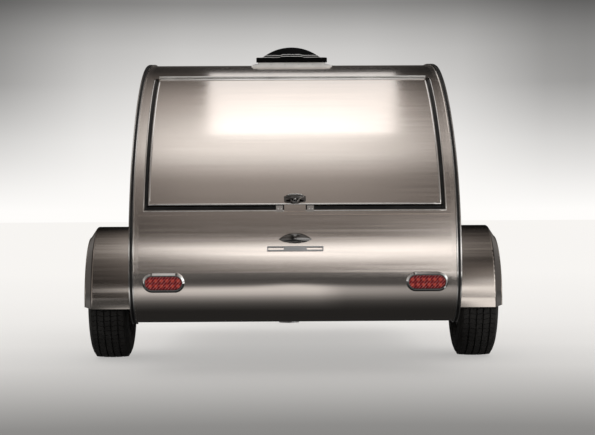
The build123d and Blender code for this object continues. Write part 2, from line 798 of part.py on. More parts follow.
def fender_section():
    """The fender's section above the axle: flat top, rounded corner, and a skirt that flares out and down."""
    edge, r, t = HALF + FENDER_WIDTH, FENDER_R, FENDER_T
    tip = (edge + FENDER_SKIRT_OUT, r - FENDER_SKIRT_IN)
    points = [(HALF, r), (edge, r), tip, (tip[0] - t, tip[1]), (edge - t, r - t), (HALF, r - t)]
    face = make_face(Polyline(*[(x, AXLE_Y, TYRE_R + q) for x, q in points], close=True)).face()
    for x, q, radius in ((edge, r, FENDER_CORNER), (edge - t, r - t, FENDER_CORNER - t)):
        near = [v for v in face.vertices() if math.hypot(v.X - x, v.Z - TYRE_R - q) < TOUCH]
        face = face.fillet_2d(radius, near)
    return face, tip


def fenders():
    """Round fenders of bent sheet with a rolled edge on the skirt."""
    face, tip = fender_section()
    hub_axis = Axis((0, AXLE_Y, TYRE_R), (1, 0, 0))
    start, sweep = -90 - FENDER_WRAP, 180 + 2 * FENDER_WRAP
    sheet = revolve(face.rotate(hub_axis, start), hub_axis, sweep)
    edge = Plane(origin=(tip[0] - FENDER_T / 2, AXLE_Y, TYRE_R + tip[1]), z_dir=(0, 1, 0))
    bead = revolve((edge * Circle(FENDER_BEAD_R)).face().rotate(hub_axis, start), hub_axis, sweep)
    return pair(sheet + bead)


# Body shell

HATCH_HALF = HALF - HATCH_MARGIN
OPENING_HALF = HATCH_HALF + SIDE_GROOVE
FRAME_HALF = OPENING_HALF + FRAME_BAND
SILL_HEIGHT = HATCH_BOTTOM - SILL_GROOVE
SEAM_HEIGHT = SILL_HEIGHT - SILL_BAND
HINGE_U = rear_u(BODY_TOP - HINGE_DROP)
BOTTOM_U = rear_u(HATCH_BOTTOM)
SILL_U = rear_u(SILL_HEIGHT)
SEAM_U = rear_u(SEAM_HEIGHT)
ROOF_END_U = HINGE_U - HATCH_GAP
HATCH_TOP_U = HINGE_U - 2 * HATCH_GAP
FRONT_END_U = front_u(RAIL_TOP + TOUCH)
FRONT_SPLIT_U = roof_u(BODY_LENGTH - NOSE_R)


def hinge_axis():
    """(y, z) of the hatch hinge's pin."""
    y, z, _ = spot(HINGE_U, -HINGE_BARREL_R)
    return y, z


HINGE_Y, HINGE_Z = hinge_axis()
BULKHEAD_Y = HINGE_Y + BULKHEAD_AHEAD
DOOR_REAR = AXLE_Y + FENDER_R + DOOR_AHEAD
DOOR_FRONT = DOOR_REAR + DOOR_LENGTH
DOOR_MID_Y = (DOOR_REAR + DOOR_FRONT) / 2
DOOR_BOTTOM = FLOOR_TOP + DOOR_SILL
DOOR_TOP = BODY_TOP - DOOR_HEAD
DOOR_MID_Z = (DOOR_BOTTOM + DOOR_TOP) / 2
WINDOW_HEIGHT = WINDOW_SHARE * (DOOR_TOP - DOOR_BOTTOM)
WINDOW_Z = DOOR_TOP - WINDOW_HEAD - WINDOW_HEIGHT / 2
LOCK_Z = WINDOW_Z - WINDOW_HEIGHT / 2 - WINDOW_FRAME - LOCK_BELOW - LOCK_HEIGHT / 2


def floor_deck():
    return block(-INNER, INNER, FLOOR_REAR, BODY_LENGTH - SHELL - TOUCH, RAIL_TOP, FLOOR_TOP)


def door_shape(x0, x1, grow=0.0):
    """The door opening's shape between two x planes, grown on all sides."""
    length, height = DOOR_LENGTH + 2 * grow, DOOR_TOP - DOOR_BOTTOM + 2 * grow
    return side_plate(x0, x1, DOOR_MID_Y, DOOR_MID_Z, length, height, DOOR_CORNER + grow)


def side_walls():
    """Flat walls with a door opening, and an arch in the lower edge for the axle."""
    middle, top = (AXLE_Y + BEAM_Y) / 2, TYRE_R + ARCH_RISE
    z = top - ARCH_LENGTH / 2
    arch = side_plate(INNER - 1, HALF + 1, middle, z, ARCH_LENGTH, ARCH_LENGTH, ARCH_CORNER)
    return pair(whole(INNER, HALF) - door_shape(INNER - 1, HALF + 1) - arch)


def both(x0, x1, u0, u1, outer, inner):
    """A curved slab and its mirror image on the other side."""
    slab = band(x0, x1, u0, u1, outer, inner)
    return [slab, flip(slab)]


def rear_panel():
    """The skin below the hatch, rolled under the tail, with a jamb up each side of the opening."""
    panel = band(-INNER, INNER, 0.0, SILL_U, 0.0, SHELL)
    return fuse([panel, *both(OPENING_HALF, INNER, SILL_U - TOUCH, ROOF_END_U, 0.0, SHELL)])


def roof_shell():
    """The roof from the hinge to the brow, with the vent's opening."""
    roof = band(-INNER, INNER, ROOF_END_U, FRONT_SPLIT_U, 0.0, SHELL)
    return roof - vent_plane() * Box(VENT_OPENING, VENT_OPENING, 4 * SHELL)


def front_panel():
    """The nose, from the brow down to the chassis."""
    return band(-INNER, INNER, FRONT_SPLIT_U, FRONT_END_U, 0.0, SHELL)


def edge_trims():
    """The mouldings over the joints of wall and skin, with a groove for their inserts."""
    outer = HALF + TRIM_PROUD
    middle, half = outer - TRIM_WIDTH / 2, INSERT_WIDTH / 2
    cap = band(outer - TRIM_WIDTH, outer, 0.0, OUTLINE_END, -TRIM_PROUD, 0.0)
    leg = band(HALF, outer, 0.0, OUTLINE_END, 0.0, TRIM_LEG)
    groove = band(middle - half, middle + half, 0.0, OUTLINE_END, -2 * TRIM_PROUD, -TRIM_PROUD + INSERT_DEPTH)
    return pair(cap + leg - groove)


def trim_inserts():
    """The black strips in the mouldings' grooves."""
    middle, half = HALF + TRIM_PROUD - TRIM_WIDTH / 2, INSERT_WIDTH / 2
    top, floor = -TRIM_PROUD + INSERT_SUNK, -TRIM_PROUD + INSERT_DEPTH
    return pair(band(middle - half, middle + half, 0.0, OUTLINE_END, top, floor))


# Hatch


def frame_corner_notch():
    """What is cut away to round a lower outer corner of the hatch frame, for the right side."""
    r = FRAME_CORNER
    square = Box(r, r, 4 * TRIM_PROUD)
    return square - Pos(-r / 2, r / 2, 0) * Cylinder(r, 4 * TRIM_PROUD)


def hatch_frame():
    """The raised band round the hatch's opening, with rounded lower corners."""
    bottom = band(-FRAME_HALF, FRAME_HALF, SEAM_U, SILL_U, -FRAME_PROUD, 0.0)
    frame = fuse([bottom, *both(OPENING_HALF, FRAME_HALF, SILL_U - TOUCH, ROOF_END_U, -FRAME_PROUD, 0.0)])
    for _, s in SIDES:
        notch = frame_corner_notch() if s > 0 else flip(frame_corner_notch())
        frame -= on_skin(SEAM_U + FRAME_CORNER / 2, s * (FRAME_HALF - FRAME_CORNER / 2)) * notch
    return frame


def hatch_gasket():
    """The rubber seal that lines the opening."""
    top = ROOF_END_U - GASKET_WIDTH
    deep = GASKET_INSET + GASKET_DEPTH
    seal = band(-OPENING_HALF, OPENING_HALF, SILL_U, SILL_U + GASKET_WIDTH, GASKET_INSET, deep)
    return fuse([seal, *both(OPENING_HALF - GASKET_WIDTH, OPENING_HALF, SILL_U, top, GASKET_INSET, deep)])


def hatch_panel():
    """The curved hatch, with a bead along its sides and lower edge."""
    panel = band(-HATCH_HALF, HATCH_HALF, BOTTOM_U, HATCH_TOP_U, 0.0, HATCH_T)
    bead = band(-HATCH_HALF, HATCH_HALF, BOTTOM_U, BOTTOM_U + BEAD_WIDTH, -BEAD_PROUD, TOUCH)
    sides = both(HATCH_HALF - BEAD_WIDTH, HATCH_HALF, BOTTOM_U, HATCH_TOP_U, -BEAD_PROUD, TOUCH)
    return fuse([panel, bead, *sides])


def hinge_barrel():
    """The hinge's fixed leaf on the roof, with its barrel."""
    barrel = rod((-HATCH_HALF, HINGE_Y, HINGE_Z), (HATCH_HALF, HINGE_Y, HINGE_Z), HINGE_BARREL_R)
    return barrel + band(-HATCH_HALF, HATCH_HALF, ROOF_END_U, HINGE_U + HINGE_LEAF, -HINGE_LEAF_T, 0.0)


def hinge_leaf():
    """The hinge's moving leaf on the hatch."""
    half = HATCH_HALF - BEAD_WIDTH
    return band(-half, half, HATCH_TOP_U - HINGE_LEAF, HATCH_TOP_U, -HINGE_LEAF_T, 0.0)


def hatch_handle():
    """The T-shaped locking handle on its plate."""
    half, bottom = HANDLE_LENGTH / 2, HANDLE_STAND - HANDLE_T
    outline = RectangleRounded(HANDLE_LENGTH, HANDLE_PLATE_WIDTH, HANDLE_PLATE_WIDTH / 5)
    base = extrude(outline, amount=HANDLE_PLATE_T)
    boss = Pos(0, 0, HANDLE_PLATE_T) * Cone(BOSS_R, STEM_R * 1.5, BOSS_HEIGHT, align=STANDING)
    stem = Cylinder(STEM_R, HANDLE_STAND, align=STANDING)
    waist, wide = HANDLE_WAIST, HANDLE_WIDTH / 2
    lozenge = [(-half, 0), (-waist, -wide), (waist, -wide), (half, 0), (waist, wide), (-waist, wide)]
    bar = Pos(0, 0, bottom) * extrude(make_face(Polyline(*lozenge, close=True)), amount=HANDLE_T)
    bar = fillet(bar.edges().filter_by(Axis.Z), HANDLE_T / 4)
    bar = fillet(bar.edges().group_by(Axis.Z)[-1], HANDLE_T / 3.2)
    return on_skin(rear_u(HATCH_BOTTOM + HANDLE_RISE)) * (base + boss + stem + bar)


def latch_plate():
    """The plate that carries the hatch's skin down over the gasket below the handle."""
    half = LATCH_PLATE_WIDTH / 2
    outer = -BEAD_PROUD - LATCH_PLATE_T
    lap = band(-half, half, BOTTOM_U, BOTTOM_U + BEAD_WIDTH, outer, -BEAD_PROUD)
    return lap + band(-half, half, SILL_U - LATCH_LAP, BOTTOM_U, outer, -FRAME_PROUD - TOUCH)


def gasket_clips():
    """The two bright clips that end the gasket beside the latch plate."""
    x0 = LATCH_PLATE_WIDTH / 2 + CLIP_GAP
    low, high = SILL_U - CLIP_LAP, BOTTOM_U - 2 * LATCH_PLATE_T
    return pair(band(x0, x0 + CLIP_WIDTH, low, high, -FRAME_PROUD - CLIP_T, -FRAME_PROUD))


# Tail lamps, plate lamp and plate bracket


def slot_block(length, width, z0, z1):
    return Pos(0, 0, z0) * extrude(SlotOverall(length, width), amount=z1 - z0)


def seated(plane, shape):
    """The shape on that plane, cut back to the curved skin."""
    return plane * shape - whole(-HALF, HALF)


def lamp_plane():
    return on_skin(rear_u(TAIL_LAMP_HEIGHT), HALF - TAIL_LAMP_MARGIN)


def tail_bezels():
    """The bright surrounds of the tail lamps, seated on the curved skin."""
    ring = slot_block(BEZEL_LENGTH, BEZEL_WIDTH, -BEZEL_STAND, BEZEL_STAND)
    ring = chamfer(ring.edges().group_by(Axis.Z)[-1], BEZEL_SLOPE)
    fit = 2 * LENS_FIT
    ring -= slot_block(LENS_LENGTH + fit, LENS_WIDTH + fit, -2 * BEZEL_STAND, 2 * BEZEL_STAND)
    return pair(seated(lamp_plane(), ring))


def tail_lenses():
    """Red lenses over two rows of small round lamps."""
    top = BEZEL_STAND - LENS_SUNK
    lens = slot_block(LENS_LENGTH, LENS_WIDTH, -BEZEL_STAND, top)
    lens = fillet(lens.edges().group_by(Axis.Z)[-1], LENS_SUNK - 1)
    for i in range(LED_COLUMNS):
        x = (i - (LED_COLUMNS - 1) / 2) * LED_PITCH
        for row in (-0.5, 0.5):
            lamp = Cone(LED_R, LED_R / 2, LED_HEIGHT, align=STANDING)
            lens += Pos(x, row * LED_PITCH, top - LED_HEIGHT / 2) * lamp
    return pair(seated(lamp_plane(), lens))


def pointed(length, radius):
    """A solid turned about x, pointed at both ends, of that length and largest radius."""
    arc = ThreePointArc((-length / 2, 0), (0, radius), (length / 2, 0))
    return revolve(make_face(arc + Line((length / 2, 0), (-length / 2, 0))), Axis.X, 360)


def plate_lamp():
    """The hooded lamp over the number plate: a hollow half spindle on a base, open downwards."""
    length, r, t = PLATE_LAMP_LENGTH, PLATE_LAMP_R, PLATE_LAMP_SHELL
    hood = pointed(length, r) - pointed(length - 4 * t, r - t)
    hood -= Rot(PLATE_LAMP_TILT, 0, 0) * Pos(0, -r, 0) * Box(length, 2 * r, 4 * r)
    base = slot_block(length * 0.8, PLATE_BASE_WIDTH, -PLATE_BASE_T, PLATE_BASE_T)
    return seated(on_skin(PLATE_LAMP_U), hood + base)


def plate_lens():
    """The clear lens inside the hood."""
    lens = slot_block(PLATE_LENS_LENGTH, PLATE_LENS_WIDTH, 0, PLATE_LENS_T)
    return on_skin(PLATE_LAMP_U, 0.0, PLATE_BASE_T) * lens


def plate_bracket():
    """The slotted bar that a number plate bolts to, upright behind a stand-off."""
    y = spot(rear_u(BRACKET_HEIGHT))[0] - BRACKET_STAND
    strip = extrude(RectangleRounded(BRACKET_LENGTH, BRACKET_WIDTH, BRACKET_CORNER), amount=BRACKET_T)
    slot = slot_block(SLOT_LENGTH, 2 * SLOT_R, -BRACKET_T, 2 * BRACKET_T)
    for _, s in SIDES:
        strip -= Pos(s * SLOT_PITCH / 2, 0, 0) * slot
    tab = extrude(Rectangle(BRACKET_TAB, BRACKET_WIDTH), amount=2 * BRACKET_STAND)
    tab = Pos(0, 0, -2 * BRACKET_STAND) * tab
    upright_plane = Plane(origin=(0, y, BRACKET_HEIGHT), x_dir=(1, 0, 0), z_dir=(0, -1, 0))
    return seated(upright_plane, strip + tab)


PLATE_LAMP_U = rear_u(SEAM_HEIGHT - PLATE_LAMP_DROP)
BRACKET_HEIGHT = SEAM_HEIGHT - PLATE_LAMP_DROP - BRACKET_DROP


def marker_lamps(y):
    """A pair of side marker lamps."""
    lamp = side_plate(HALF, HALF + MARKER_T, y, MARKER_Z, MARKER_LENGTH, MARKER_WIDTH, MARKER_CORNER)
    return pair(fillet(lamp.edges().group_by(Axis.X)[-1], MARKER_EDGE))


# Side doors

DOOR_AXIS_X = HALF + DOOR_AXIS_OUT
DOOR_AXIS_Y = DOOR_FRONT - DOOR_GAP / 2
HINGE_HEIGHTS = (DOOR_BOTTOM + DOOR_HINGE_INSET, DOOR_TOP - DOOR_HINGE_INSET)


def knuckle(z, y_end, x_start, above):
    """Half a door hinge at height z: a barrel above or below it, and a plate that reaches to y_end."""
    z0, z1 = (z + TOUCH, z + KNUCKLE_LENGTH) if above else (z - KNUCKLE_LENGTH, z - TOUCH)
    barrel = rod((DOOR_AXIS_X, DOOR_AXIS_Y, z0), (DOOR_AXIS_X, DOOR_AXIS_Y, z1), KNUCKLE_R)
    return barrel + block(x_start, DOOR_AXIS_X - KNUCKLE_R / 3, DOOR_AXIS_Y, y_end, z0, z1)


def door_frames():
    """The bright rings round the doors' openings, with the fixed halves of their hinges."""
    face = HALF + DOOR_FRAME_T
    ring = door_shape(HALF, face, DOOR_FRAME_WIDTH) - door_shape(HALF - 1, face + 1)
    for z in HINGE_HEIGHTS:
        ring += knuckle(z, DOOR_AXIS_Y + HINGE_PLATE, face - 1, False)
        reach = KNUCKLE_LENGTH + HINGE_PLATE
        ring -= block(HALF - 1, face - 1, DOOR_FRONT - DOOR_GAP, DOOR_FRONT, z - reach, z + reach)
    return pair(ring)


def door_panel(side):
    """The door's slab with its window cut out, and the moving halves of its hinges."""
    face = HALF + DOOR_PROUD
    slab = door_shape(INNER, face, -DOOR_GAP) - window_shape(INNER - 1, face + 1)
    for z in HINGE_HEIGHTS:
        slab += knuckle(z, DOOR_AXIS_Y - HINGE_PLATE - DOOR_GAP, face - 1, True)
    return slab if side > 0 else flip(slab)


def window_shape(x0, x1, grow=0.0):
    """The window opening's shape between two x planes, grown on all sides."""
    length, height = WINDOW_LENGTH + 2 * grow, WINDOW_HEIGHT + 2 * grow
    return side_plate(x0, x1, DOOR_MID_Y, WINDOW_Z, length, height, WINDOW_CORNER + grow)


def door_window(side):
    """The window's bright frame, outside the slab."""
    back = HALF + DOOR_PROUD
    front = back + WINDOW_FRAME_T
    ring = window_shape(back, front, WINDOW_FRAME) - window_shape(back - 1, front + 1)
    return ring if side > 0 else flip(ring)


def door_glass(side):
    middle = (INNER + HALF) / 2
    pane = window_shape(middle, middle + GLASS_T)
    return pane if side > 0 else flip(pane)


def door_handle(side):
    """The latch: a plate with a lever and a keyhole barrel."""
    x = HALF + DOOR_PROUD
    y, z = DOOR_REAR + DOOR_GAP + LOCK_INSET, LOCK_Z
    plate = side_plate(x, x + LOCK_PLATE_T, y, z, LOCK_LENGTH, LOCK_HEIGHT, LOCK_LENGTH / 5)
    stem = rod((x, y - LEVER_WIDTH / 2, z), (x + LEVER_STAND, y - LEVER_WIDTH / 2, z), LEVER_T)
    lever_x, lever_y = x + LEVER_STAND, y - LEVER_WIDTH + LEVER_LENGTH / 2
    lever = side_plate(lever_x, lever_x + LEVER_T, lever_y, z, LEVER_LENGTH, LEVER_WIDTH, LEVER_T)
    z -= LOCK_HEIGHT / 3
    handle = plate + lever + stem + rod((x, y, z), (x + LOCK_PLATE_T + KEYHOLE_R / 2, y, z), KEYHOLE_R)
    return handle if side > 0 else flip(handle)


# Roof vent

VENT_Y = HINGE_Y + VENT_AHEAD
VENT_HINGE_Y = VENT_LID / 2 + VENT_HINGE_R + 2


def vent_plane():
    return on_skin(roof_u(VENT_Y))


def square(size, corner, z0, z1):
    """A square block with rounded corners, between two heights."""
    return Pos(0, 0, z0) * extrude(RectangleRounded(size, size, corner), amount=z1 - z0)


def vent_base():
    """The flange on the roof, the curb that the lid closes on, and the lugs of its hinge."""
    base = square(VENT_FLANGE, VENT_FLANGE_CORNER, -VENT_CURB_HEIGHT / 2, VENT_FLANGE_T)
    base += square(VENT_CURB, VENT_CURB_CORNER, 0, VENT_CURB_HEIGHT)
    base -= Box(VENT_OPENING, VENT_OPENING, 4 * VENT_CURB_HEIGHT)
    y0, y1 = VENT_HINGE_Y - VENT_HINGE_R, VENT_HINGE_Y + VENT_HINGE_R
    for _, s in SIDES:
        x0 = s * (VENT_HINGE_LENGTH / 2 + TOUCH)
        x1 = x0 + s * VENT_LUG
        base += rod((x0, VENT_HINGE_Y, VENT_LID_LIFT), (x1, VENT_HINGE_Y, VENT_LID_LIFT), VENT_HINGE_R)
        base += block(x0, x1, y0, y1, 0, VENT_LID_LIFT)
    return seated(vent_plane(), base)


def vent_lid():
    """The lid's skirt and deck with a shallow hollow dome on top, and the barrel of its hinge."""
    deck = VENT_LID_LIFT + VENT_LID_HEIGHT
    inner = VENT_LID - 2 * VENT_WALL
    lid = square(VENT_LID, VENT_LID_CORNER, VENT_LID_LIFT, deck)
    lid -= square(inner, VENT_LID_CORNER - VENT_WALL, VENT_LID_LIFT - 1, deck - VENT_WALL)
    lid += Pos(0, 0, deck - VENT_WALL) * Cylinder(DOME_R, DOME_STEP + VENT_WALL, align=STANDING)
    lid -= Pos(0, 0, VENT_LID_LIFT) * Cylinder(DOME_R - 2 * DOME_LEDGE, 2 * VENT_LID_HEIGHT, align=STANDING)
    foot = DOME_R - DOME_LEDGE
    ball_r = (foot**2 + DOME_HEIGHT**2) / (2 * DOME_HEIGHT)
    centre = Pos(0, 0, deck + DOME_STEP + DOME_HEIGHT - ball_r)
    dome = centre * (Sphere(ball_r) - Sphere(ball_r - VENT_WALL))
    dome &= Pos(0, 0, deck + DOME_STEP - TOUCH) * Cylinder(foot, 2 * DOME_HEIGHT, align=STANDING)
    half = VENT_HINGE_LENGTH / 2
    barrel = rod((-half, VENT_HINGE_Y, VENT_LID_LIFT), (half, VENT_HINGE_Y, VENT_LID_LIFT), VENT_HINGE_R)
    web = block(-half, half, VENT_LID / 2 - TOUCH, VENT_HINGE_Y, VENT_LID_LIFT, VENT_LID_LIFT + VENT_HINGE_R)
    return vent_plane() * fuse([lid, dome, barrel, web])


def vent_axis():
    """(y, z) of the lid's hinge, at its front lower edge."""
    point = vent_plane().from_local_coords((0, VENT_HINGE_Y, VENT_LID_LIFT))
    return point.Y, point.Z


# Cabin and galley

STRUT_X = HATCH_HALF - STRUT_SIDE_GAP
COUNTER_HALF = STRUT_X - COUNTER_GAP
COUNTER_HEIGHT = SILL_HEIGHT - COUNTER_DROP
CABINET_BOTTOM = COUNTER_HEIGHT + COOKING_SHARE * (BODY_TOP - COUNTER_HEIGHT)


def bulkhead():
    """The wall between cabin and galley."""
    half = INNER - TOUCH
    wall = block(-half, half, BULKHEAD_Y, BULKHEAD_Y + BULKHEAD_T, FLOOR_TOP, BODY_TOP)
    return wall & whole(-HALF, HALF, SHELL + TOUCH)


def galley_counter():
    """The counter behind the bulkhead, on a cabinet front that stands on the floor."""
    rear = spot(rear_u(COUNTER_HEIGHT), SHELL)[0] + COUNTER_LIP
    under = COUNTER_HEIGHT - COUNTER_T
    top = block(-COUNTER_HALF, COUNTER_HALF, rear, BULKHEAD_Y, under, COUNTER_HEIGHT)
    front = rear + TOE_SPACE
    return top + block(-COUNTER_HALF, COUNTER_HALF, front, front + BULKHEAD_T, FLOOR_TOP, under)


def galley_cabinet():
    """The cabinet high on the bulkhead, with door panels sunk in its face."""
    face = BULKHEAD_Y - CABINET_DEPTH
    box = block(-COUNTER_HALF, COUNTER_HALF, face, BULKHEAD_Y, CABINET_BOTTOM, BODY_TOP)
    box &= whole(-HALF, HALF, SHELL + CABINET_ROOF_GAP)
    pitch = 2 * COUNTER_HALF / CABINET_DOORS
    z0 = CABINET_BOTTOM + CABINET_RAIL
    z1 = z0 + CABINET_DOOR_SHARE * (BODY_TOP - CABINET_BOTTOM)
    for i in range(CABINET_DOORS):
        x0 = -COUNTER_HALF + pitch * i + CABINET_RAIL
        x1 = x0 + pitch - 2 * CABINET_RAIL
        box -= block(x0, x1, face - 1, face + CABINET_RECESS, z0, z1)
    return box


def mattress():
    """The bed that fills the cabin's floor."""
    half = INNER - MATTRESS_GAP
    y0, y1 = BULKHEAD_Y + BULKHEAD_T + MATTRESS_GAP, BODY_LENGTH - SHELL - MATTRESS_GAP
    pad = block(-half, half, y0, y1, FLOOR_TOP, FLOOR_TOP + MATTRESS_T)
    return fillet(pad.edges().filter_by(Axis.Z), MATTRESS_CORNER)


# Gas struts

STRUT_FOOT = Vector(STRUT_X, HINGE_Y + STRUT_FOOT_AHEAD, HINGE_Z - STRUT_FOOT_DROP)
STRUT_HEAD = Vector(STRUT_X, HINGE_Y - STRUT_HEAD_BEHIND, HINGE_Z - STRUT_HEAD_DROP)
STRUT_LENGTH = (STRUT_HEAD - STRUT_FOOT).length


def on_strut(distance):
    """The point on the strut's line at that distance from its foot."""
    return STRUT_FOOT + (STRUT_HEAD - STRUT_FOOT) * (distance / STRUT_LENGTH)


def across_x(centre, half, radius):
    """A round bar along x about a centre."""
    return rod((centre.X - half, centre.Y, centre.Z), (centre.X + half, centre.Y, centre.Z), radius)


def strut_cylinder(side):
    """The strut's cylinder, hollow for its rod, with a hole for the wall's stud at its foot."""
    length, bore = STRUT_LENGTH - STRUT_SHORT, STRUT_ROD_R + STRUT_ROD_FIT
    base, r = STRUT_BASE, STRUT_BODY_R
    half = [(0, 0, 0), (r, 0, 0), (r, 0, length), (bore, 0, length), (bore, 0, base), (0, 0, base)]
    body = revolve(make_face(Polyline(*half, close=True)), Axis.Z, 360)
    body = Plane(origin=STRUT_FOOT, z_dir=STRUT_HEAD - STRUT_FOOT) * body
    body += across_x(STRUT_FOOT, EYE_HALF, EYE_R)
    body -= across_x(STRUT_FOOT, 2 * EYE_HALF + STUD_FIT, STUD_R + STUD_FIT)
    return body if side > 0 else flip(body)


def strut_rod(side):
    """The strut's rod and the eye on its head."""
    bar = rod(on_strut(STRUT_BASE + 1), STRUT_HEAD, STRUT_ROD_R) + across_x(STRUT_HEAD, EYE_HALF, EYE_R)
    bar -= across_x(STRUT_HEAD, 2 * EYE_HALF, STUD_R + STUD_FIT)
    return bar if side > 0 else flip(bar)


def strut_wall_pins():
    """The studs on the walls that the struts' feet turn on."""
    stud = rod((INNER, STRUT_FOOT.Y, STRUT_FOOT.Z), (STRUT_X - EYE_HALF, STRUT_FOOT.Y, STRUT_FOOT.Z), STUD_R)
    x0, corner = INNER - STUD_PLATE_T, STUD_PLATE_T * 2
    plate = side_plate(x0, INNER, STRUT_FOOT.Y, STRUT_FOOT.Z, STUD_PLATE, STUD_PLATE_HEIGHT, corner)
    return pair(stud + plate)


def strut_hatch_pins():
    """The brackets and studs inside the hatch that meet the eyes of the struts' rods."""
    x, y, z = STRUT_X - STUD_ARM, STRUT_HEAD.Y, STRUT_HEAD.Z
    stud = rod((STRUT_X - EYE_HALF - TOUCH, y, z), (x, y, z), STUD_R)
    web = block(x, x + STUD_PLATE_T, y - STUD_PLATE / 2, y + STUD_PLATE / 2, z - EYE_R, z + 4 * EYE_R)
    return pair(stud + (web & whole(-HALF, HALF, HATCH_T)))


def all_nodes():
    """Every node of the trailer, by name."""
    single = {
        "frame_rails": frame_rails,
        "frame_crossmembers": frame_crossmembers,
        "tongue_frame": tongue_frame,
        "coupler": coupler,
        "jack_tube": jack_tube,
        "jack_leg": jack_leg,
        "axle_beam": axle_beam,
        "torsion_arms": torsion_arms,
        "fenders": fenders,
        "side_walls": side_walls,
        "edge_trims": edge_trims,
        "trim_inserts": trim_inserts,
        "floor_deck": floor_deck,
        "rear_panel": rear_panel,
        "roof_shell": roof_shell,
        "front_panel": front_panel,
        "hatch_frame": hatch_frame,
        "hatch_gasket": hatch_gasket,
        "hatch_panel": hatch_panel,
        "hinge_barrel": hinge_barrel,
        "hinge_leaf": hinge_leaf,
        "hatch_handle": hatch_handle,
        "latch_plate": latch_plate,
        "gasket_clips": gasket_clips,
        "tail_bezels": tail_bezels,
        "tail_lenses": tail_lenses,
        "plate_lamp": plate_lamp,
        "plate_lens": plate_lens,
        "plate_bracket": plate_bracket,
        "vent_base": vent_base,
        "vent_lid": vent_lid,
        "door_frames": door_frames,
        "bulkhead": bulkhead,
        "galley_counter": galley_counter,
        "galley_cabinet": galley_cabinet,
        "mattress": mattress,
        "strut_wall_pins": strut_wall_pins,
        "strut_hatch_pins": strut_hatch_pins,
    }
    sided = {
        "tyre": tyre,
        "rim": rim,
        "hub": hub,
        "door_panel": door_panel,
        "door_window": door_window,
        "door_glass": door_glass,
        "door_handle": door_handle,
        "strut_cylinder": strut_cylinder,
        "strut_rod": strut_rod,
    }
    nodes = {name: make() for name, make in single.items()}
    nodes["marker_lamps_front"] = marker_lamps(BODY_LENGTH - MARKER_FRONT_SETBACK)
    nodes["marker_lamps_rear"] = marker_lamps(MARKER_REAR_SETBACK)
    for name, make in sided.items():
        for side_name, side in SIDES:
            nodes[f"{name}_{side_name}"] = make(side)
    return nodes


def middle_y(nodes):
    """The middle of the trailer's overall length."""
    boxes = [shape.bounding_box() for shape in nodes.values()]
    return (min(b.min.Y for b in boxes) + max(b.max.Y for b in boxes)) / 2


if __name__ == "__main__":
    os.makedirs("parts", exist_ok=True)
    made = all_nodes()
    shift = Location((0, -middle_y(made), 0))
    for node, shape in made.items():
        solids = [s.moved(shift) for s in shape.solids()]
        export_step(Compound(children=solids) if len(solids) > 1 else solids[0], f"parts/{node}.step")
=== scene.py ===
import json
import math

import bmesh
import bpy
from mathutils import Matrix, Vector
from mathutils import noise as ripple

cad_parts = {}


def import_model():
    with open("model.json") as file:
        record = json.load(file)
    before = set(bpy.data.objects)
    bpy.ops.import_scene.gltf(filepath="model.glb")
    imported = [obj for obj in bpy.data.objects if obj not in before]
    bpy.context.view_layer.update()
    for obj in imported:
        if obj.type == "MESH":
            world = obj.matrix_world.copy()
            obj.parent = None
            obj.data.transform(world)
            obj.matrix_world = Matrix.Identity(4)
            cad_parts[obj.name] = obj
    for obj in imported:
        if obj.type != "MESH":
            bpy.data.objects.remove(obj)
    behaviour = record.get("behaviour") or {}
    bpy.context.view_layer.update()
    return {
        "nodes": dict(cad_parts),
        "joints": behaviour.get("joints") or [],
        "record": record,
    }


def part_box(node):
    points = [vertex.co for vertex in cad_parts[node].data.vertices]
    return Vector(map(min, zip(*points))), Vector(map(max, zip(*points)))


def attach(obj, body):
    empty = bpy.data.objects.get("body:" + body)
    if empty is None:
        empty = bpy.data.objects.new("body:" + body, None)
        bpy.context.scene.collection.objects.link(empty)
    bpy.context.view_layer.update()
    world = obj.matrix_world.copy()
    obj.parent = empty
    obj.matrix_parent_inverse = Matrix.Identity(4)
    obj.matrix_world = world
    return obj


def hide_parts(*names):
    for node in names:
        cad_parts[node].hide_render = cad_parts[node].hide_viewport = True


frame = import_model()
NODES = frame["nodes"]
ACROSS, AHEAD, UP = Vector((1, 0, 0)), Vector((0, 1, 0)), Vector((0, 0, 1))

# Studio: the camera of the photograph, the softbox over the hatch, and the light on matt surfaces
CAMERA_AT = Vector((-0.09, -9.032, 0.734))
LENS = 91.86
SENSOR_WIDTH = 36.0
SHIFT_X = 0.0042
CAMERA_TURN = math.radians(-0.73)
CAMERA_ROLL = math.radians(-0.3)
CLIP_END = 300.0
AMBIENT = 0.72
SOFTBOX_AT = Vector((0.075, -0.735, 2.632))
SOFTBOX_AIM = Vector((0.075, -1.45, 1.272))
SOFTBOX_WIDTH = 1.13
SOFTBOX_LENGTH = 1.86
SOFTBOX_RADIANCE = 0.76
WARM = (1.0, 0.985, 0.965)
# The tint of the dark parts of the studio, as metal sees them, and the brightness from which it sets in
DUSK = (1.0, 0.90, 0.83)
DUSK_BELOW = (0.8, 0.1)

# (degrees above the horizon, brightness) of the studio as metal sees it
STUDIO_BEHIND = [(0, 0.10), (20, 0.11), (28, 0.15), (36, 0.19), (48, 0.29), (60, 0.36), (70, 0.66)]
STUDIO_BEHIND += [(80, 1.0), (90, 1.1)]
STUDIO_AHEAD = [(0, 0.3), (6, 0.12), (12, 0.02), (30, 0.02), (42, 0.14), (56, 0.34), (70, 0.6), (90, 1.1)]
STUDIO_ASIDE = [(0, 0.5), (12, 0.42), (30, 0.26), (48, 0.22), (65, 0.45), (80, 0.9), (90, 1.1)]
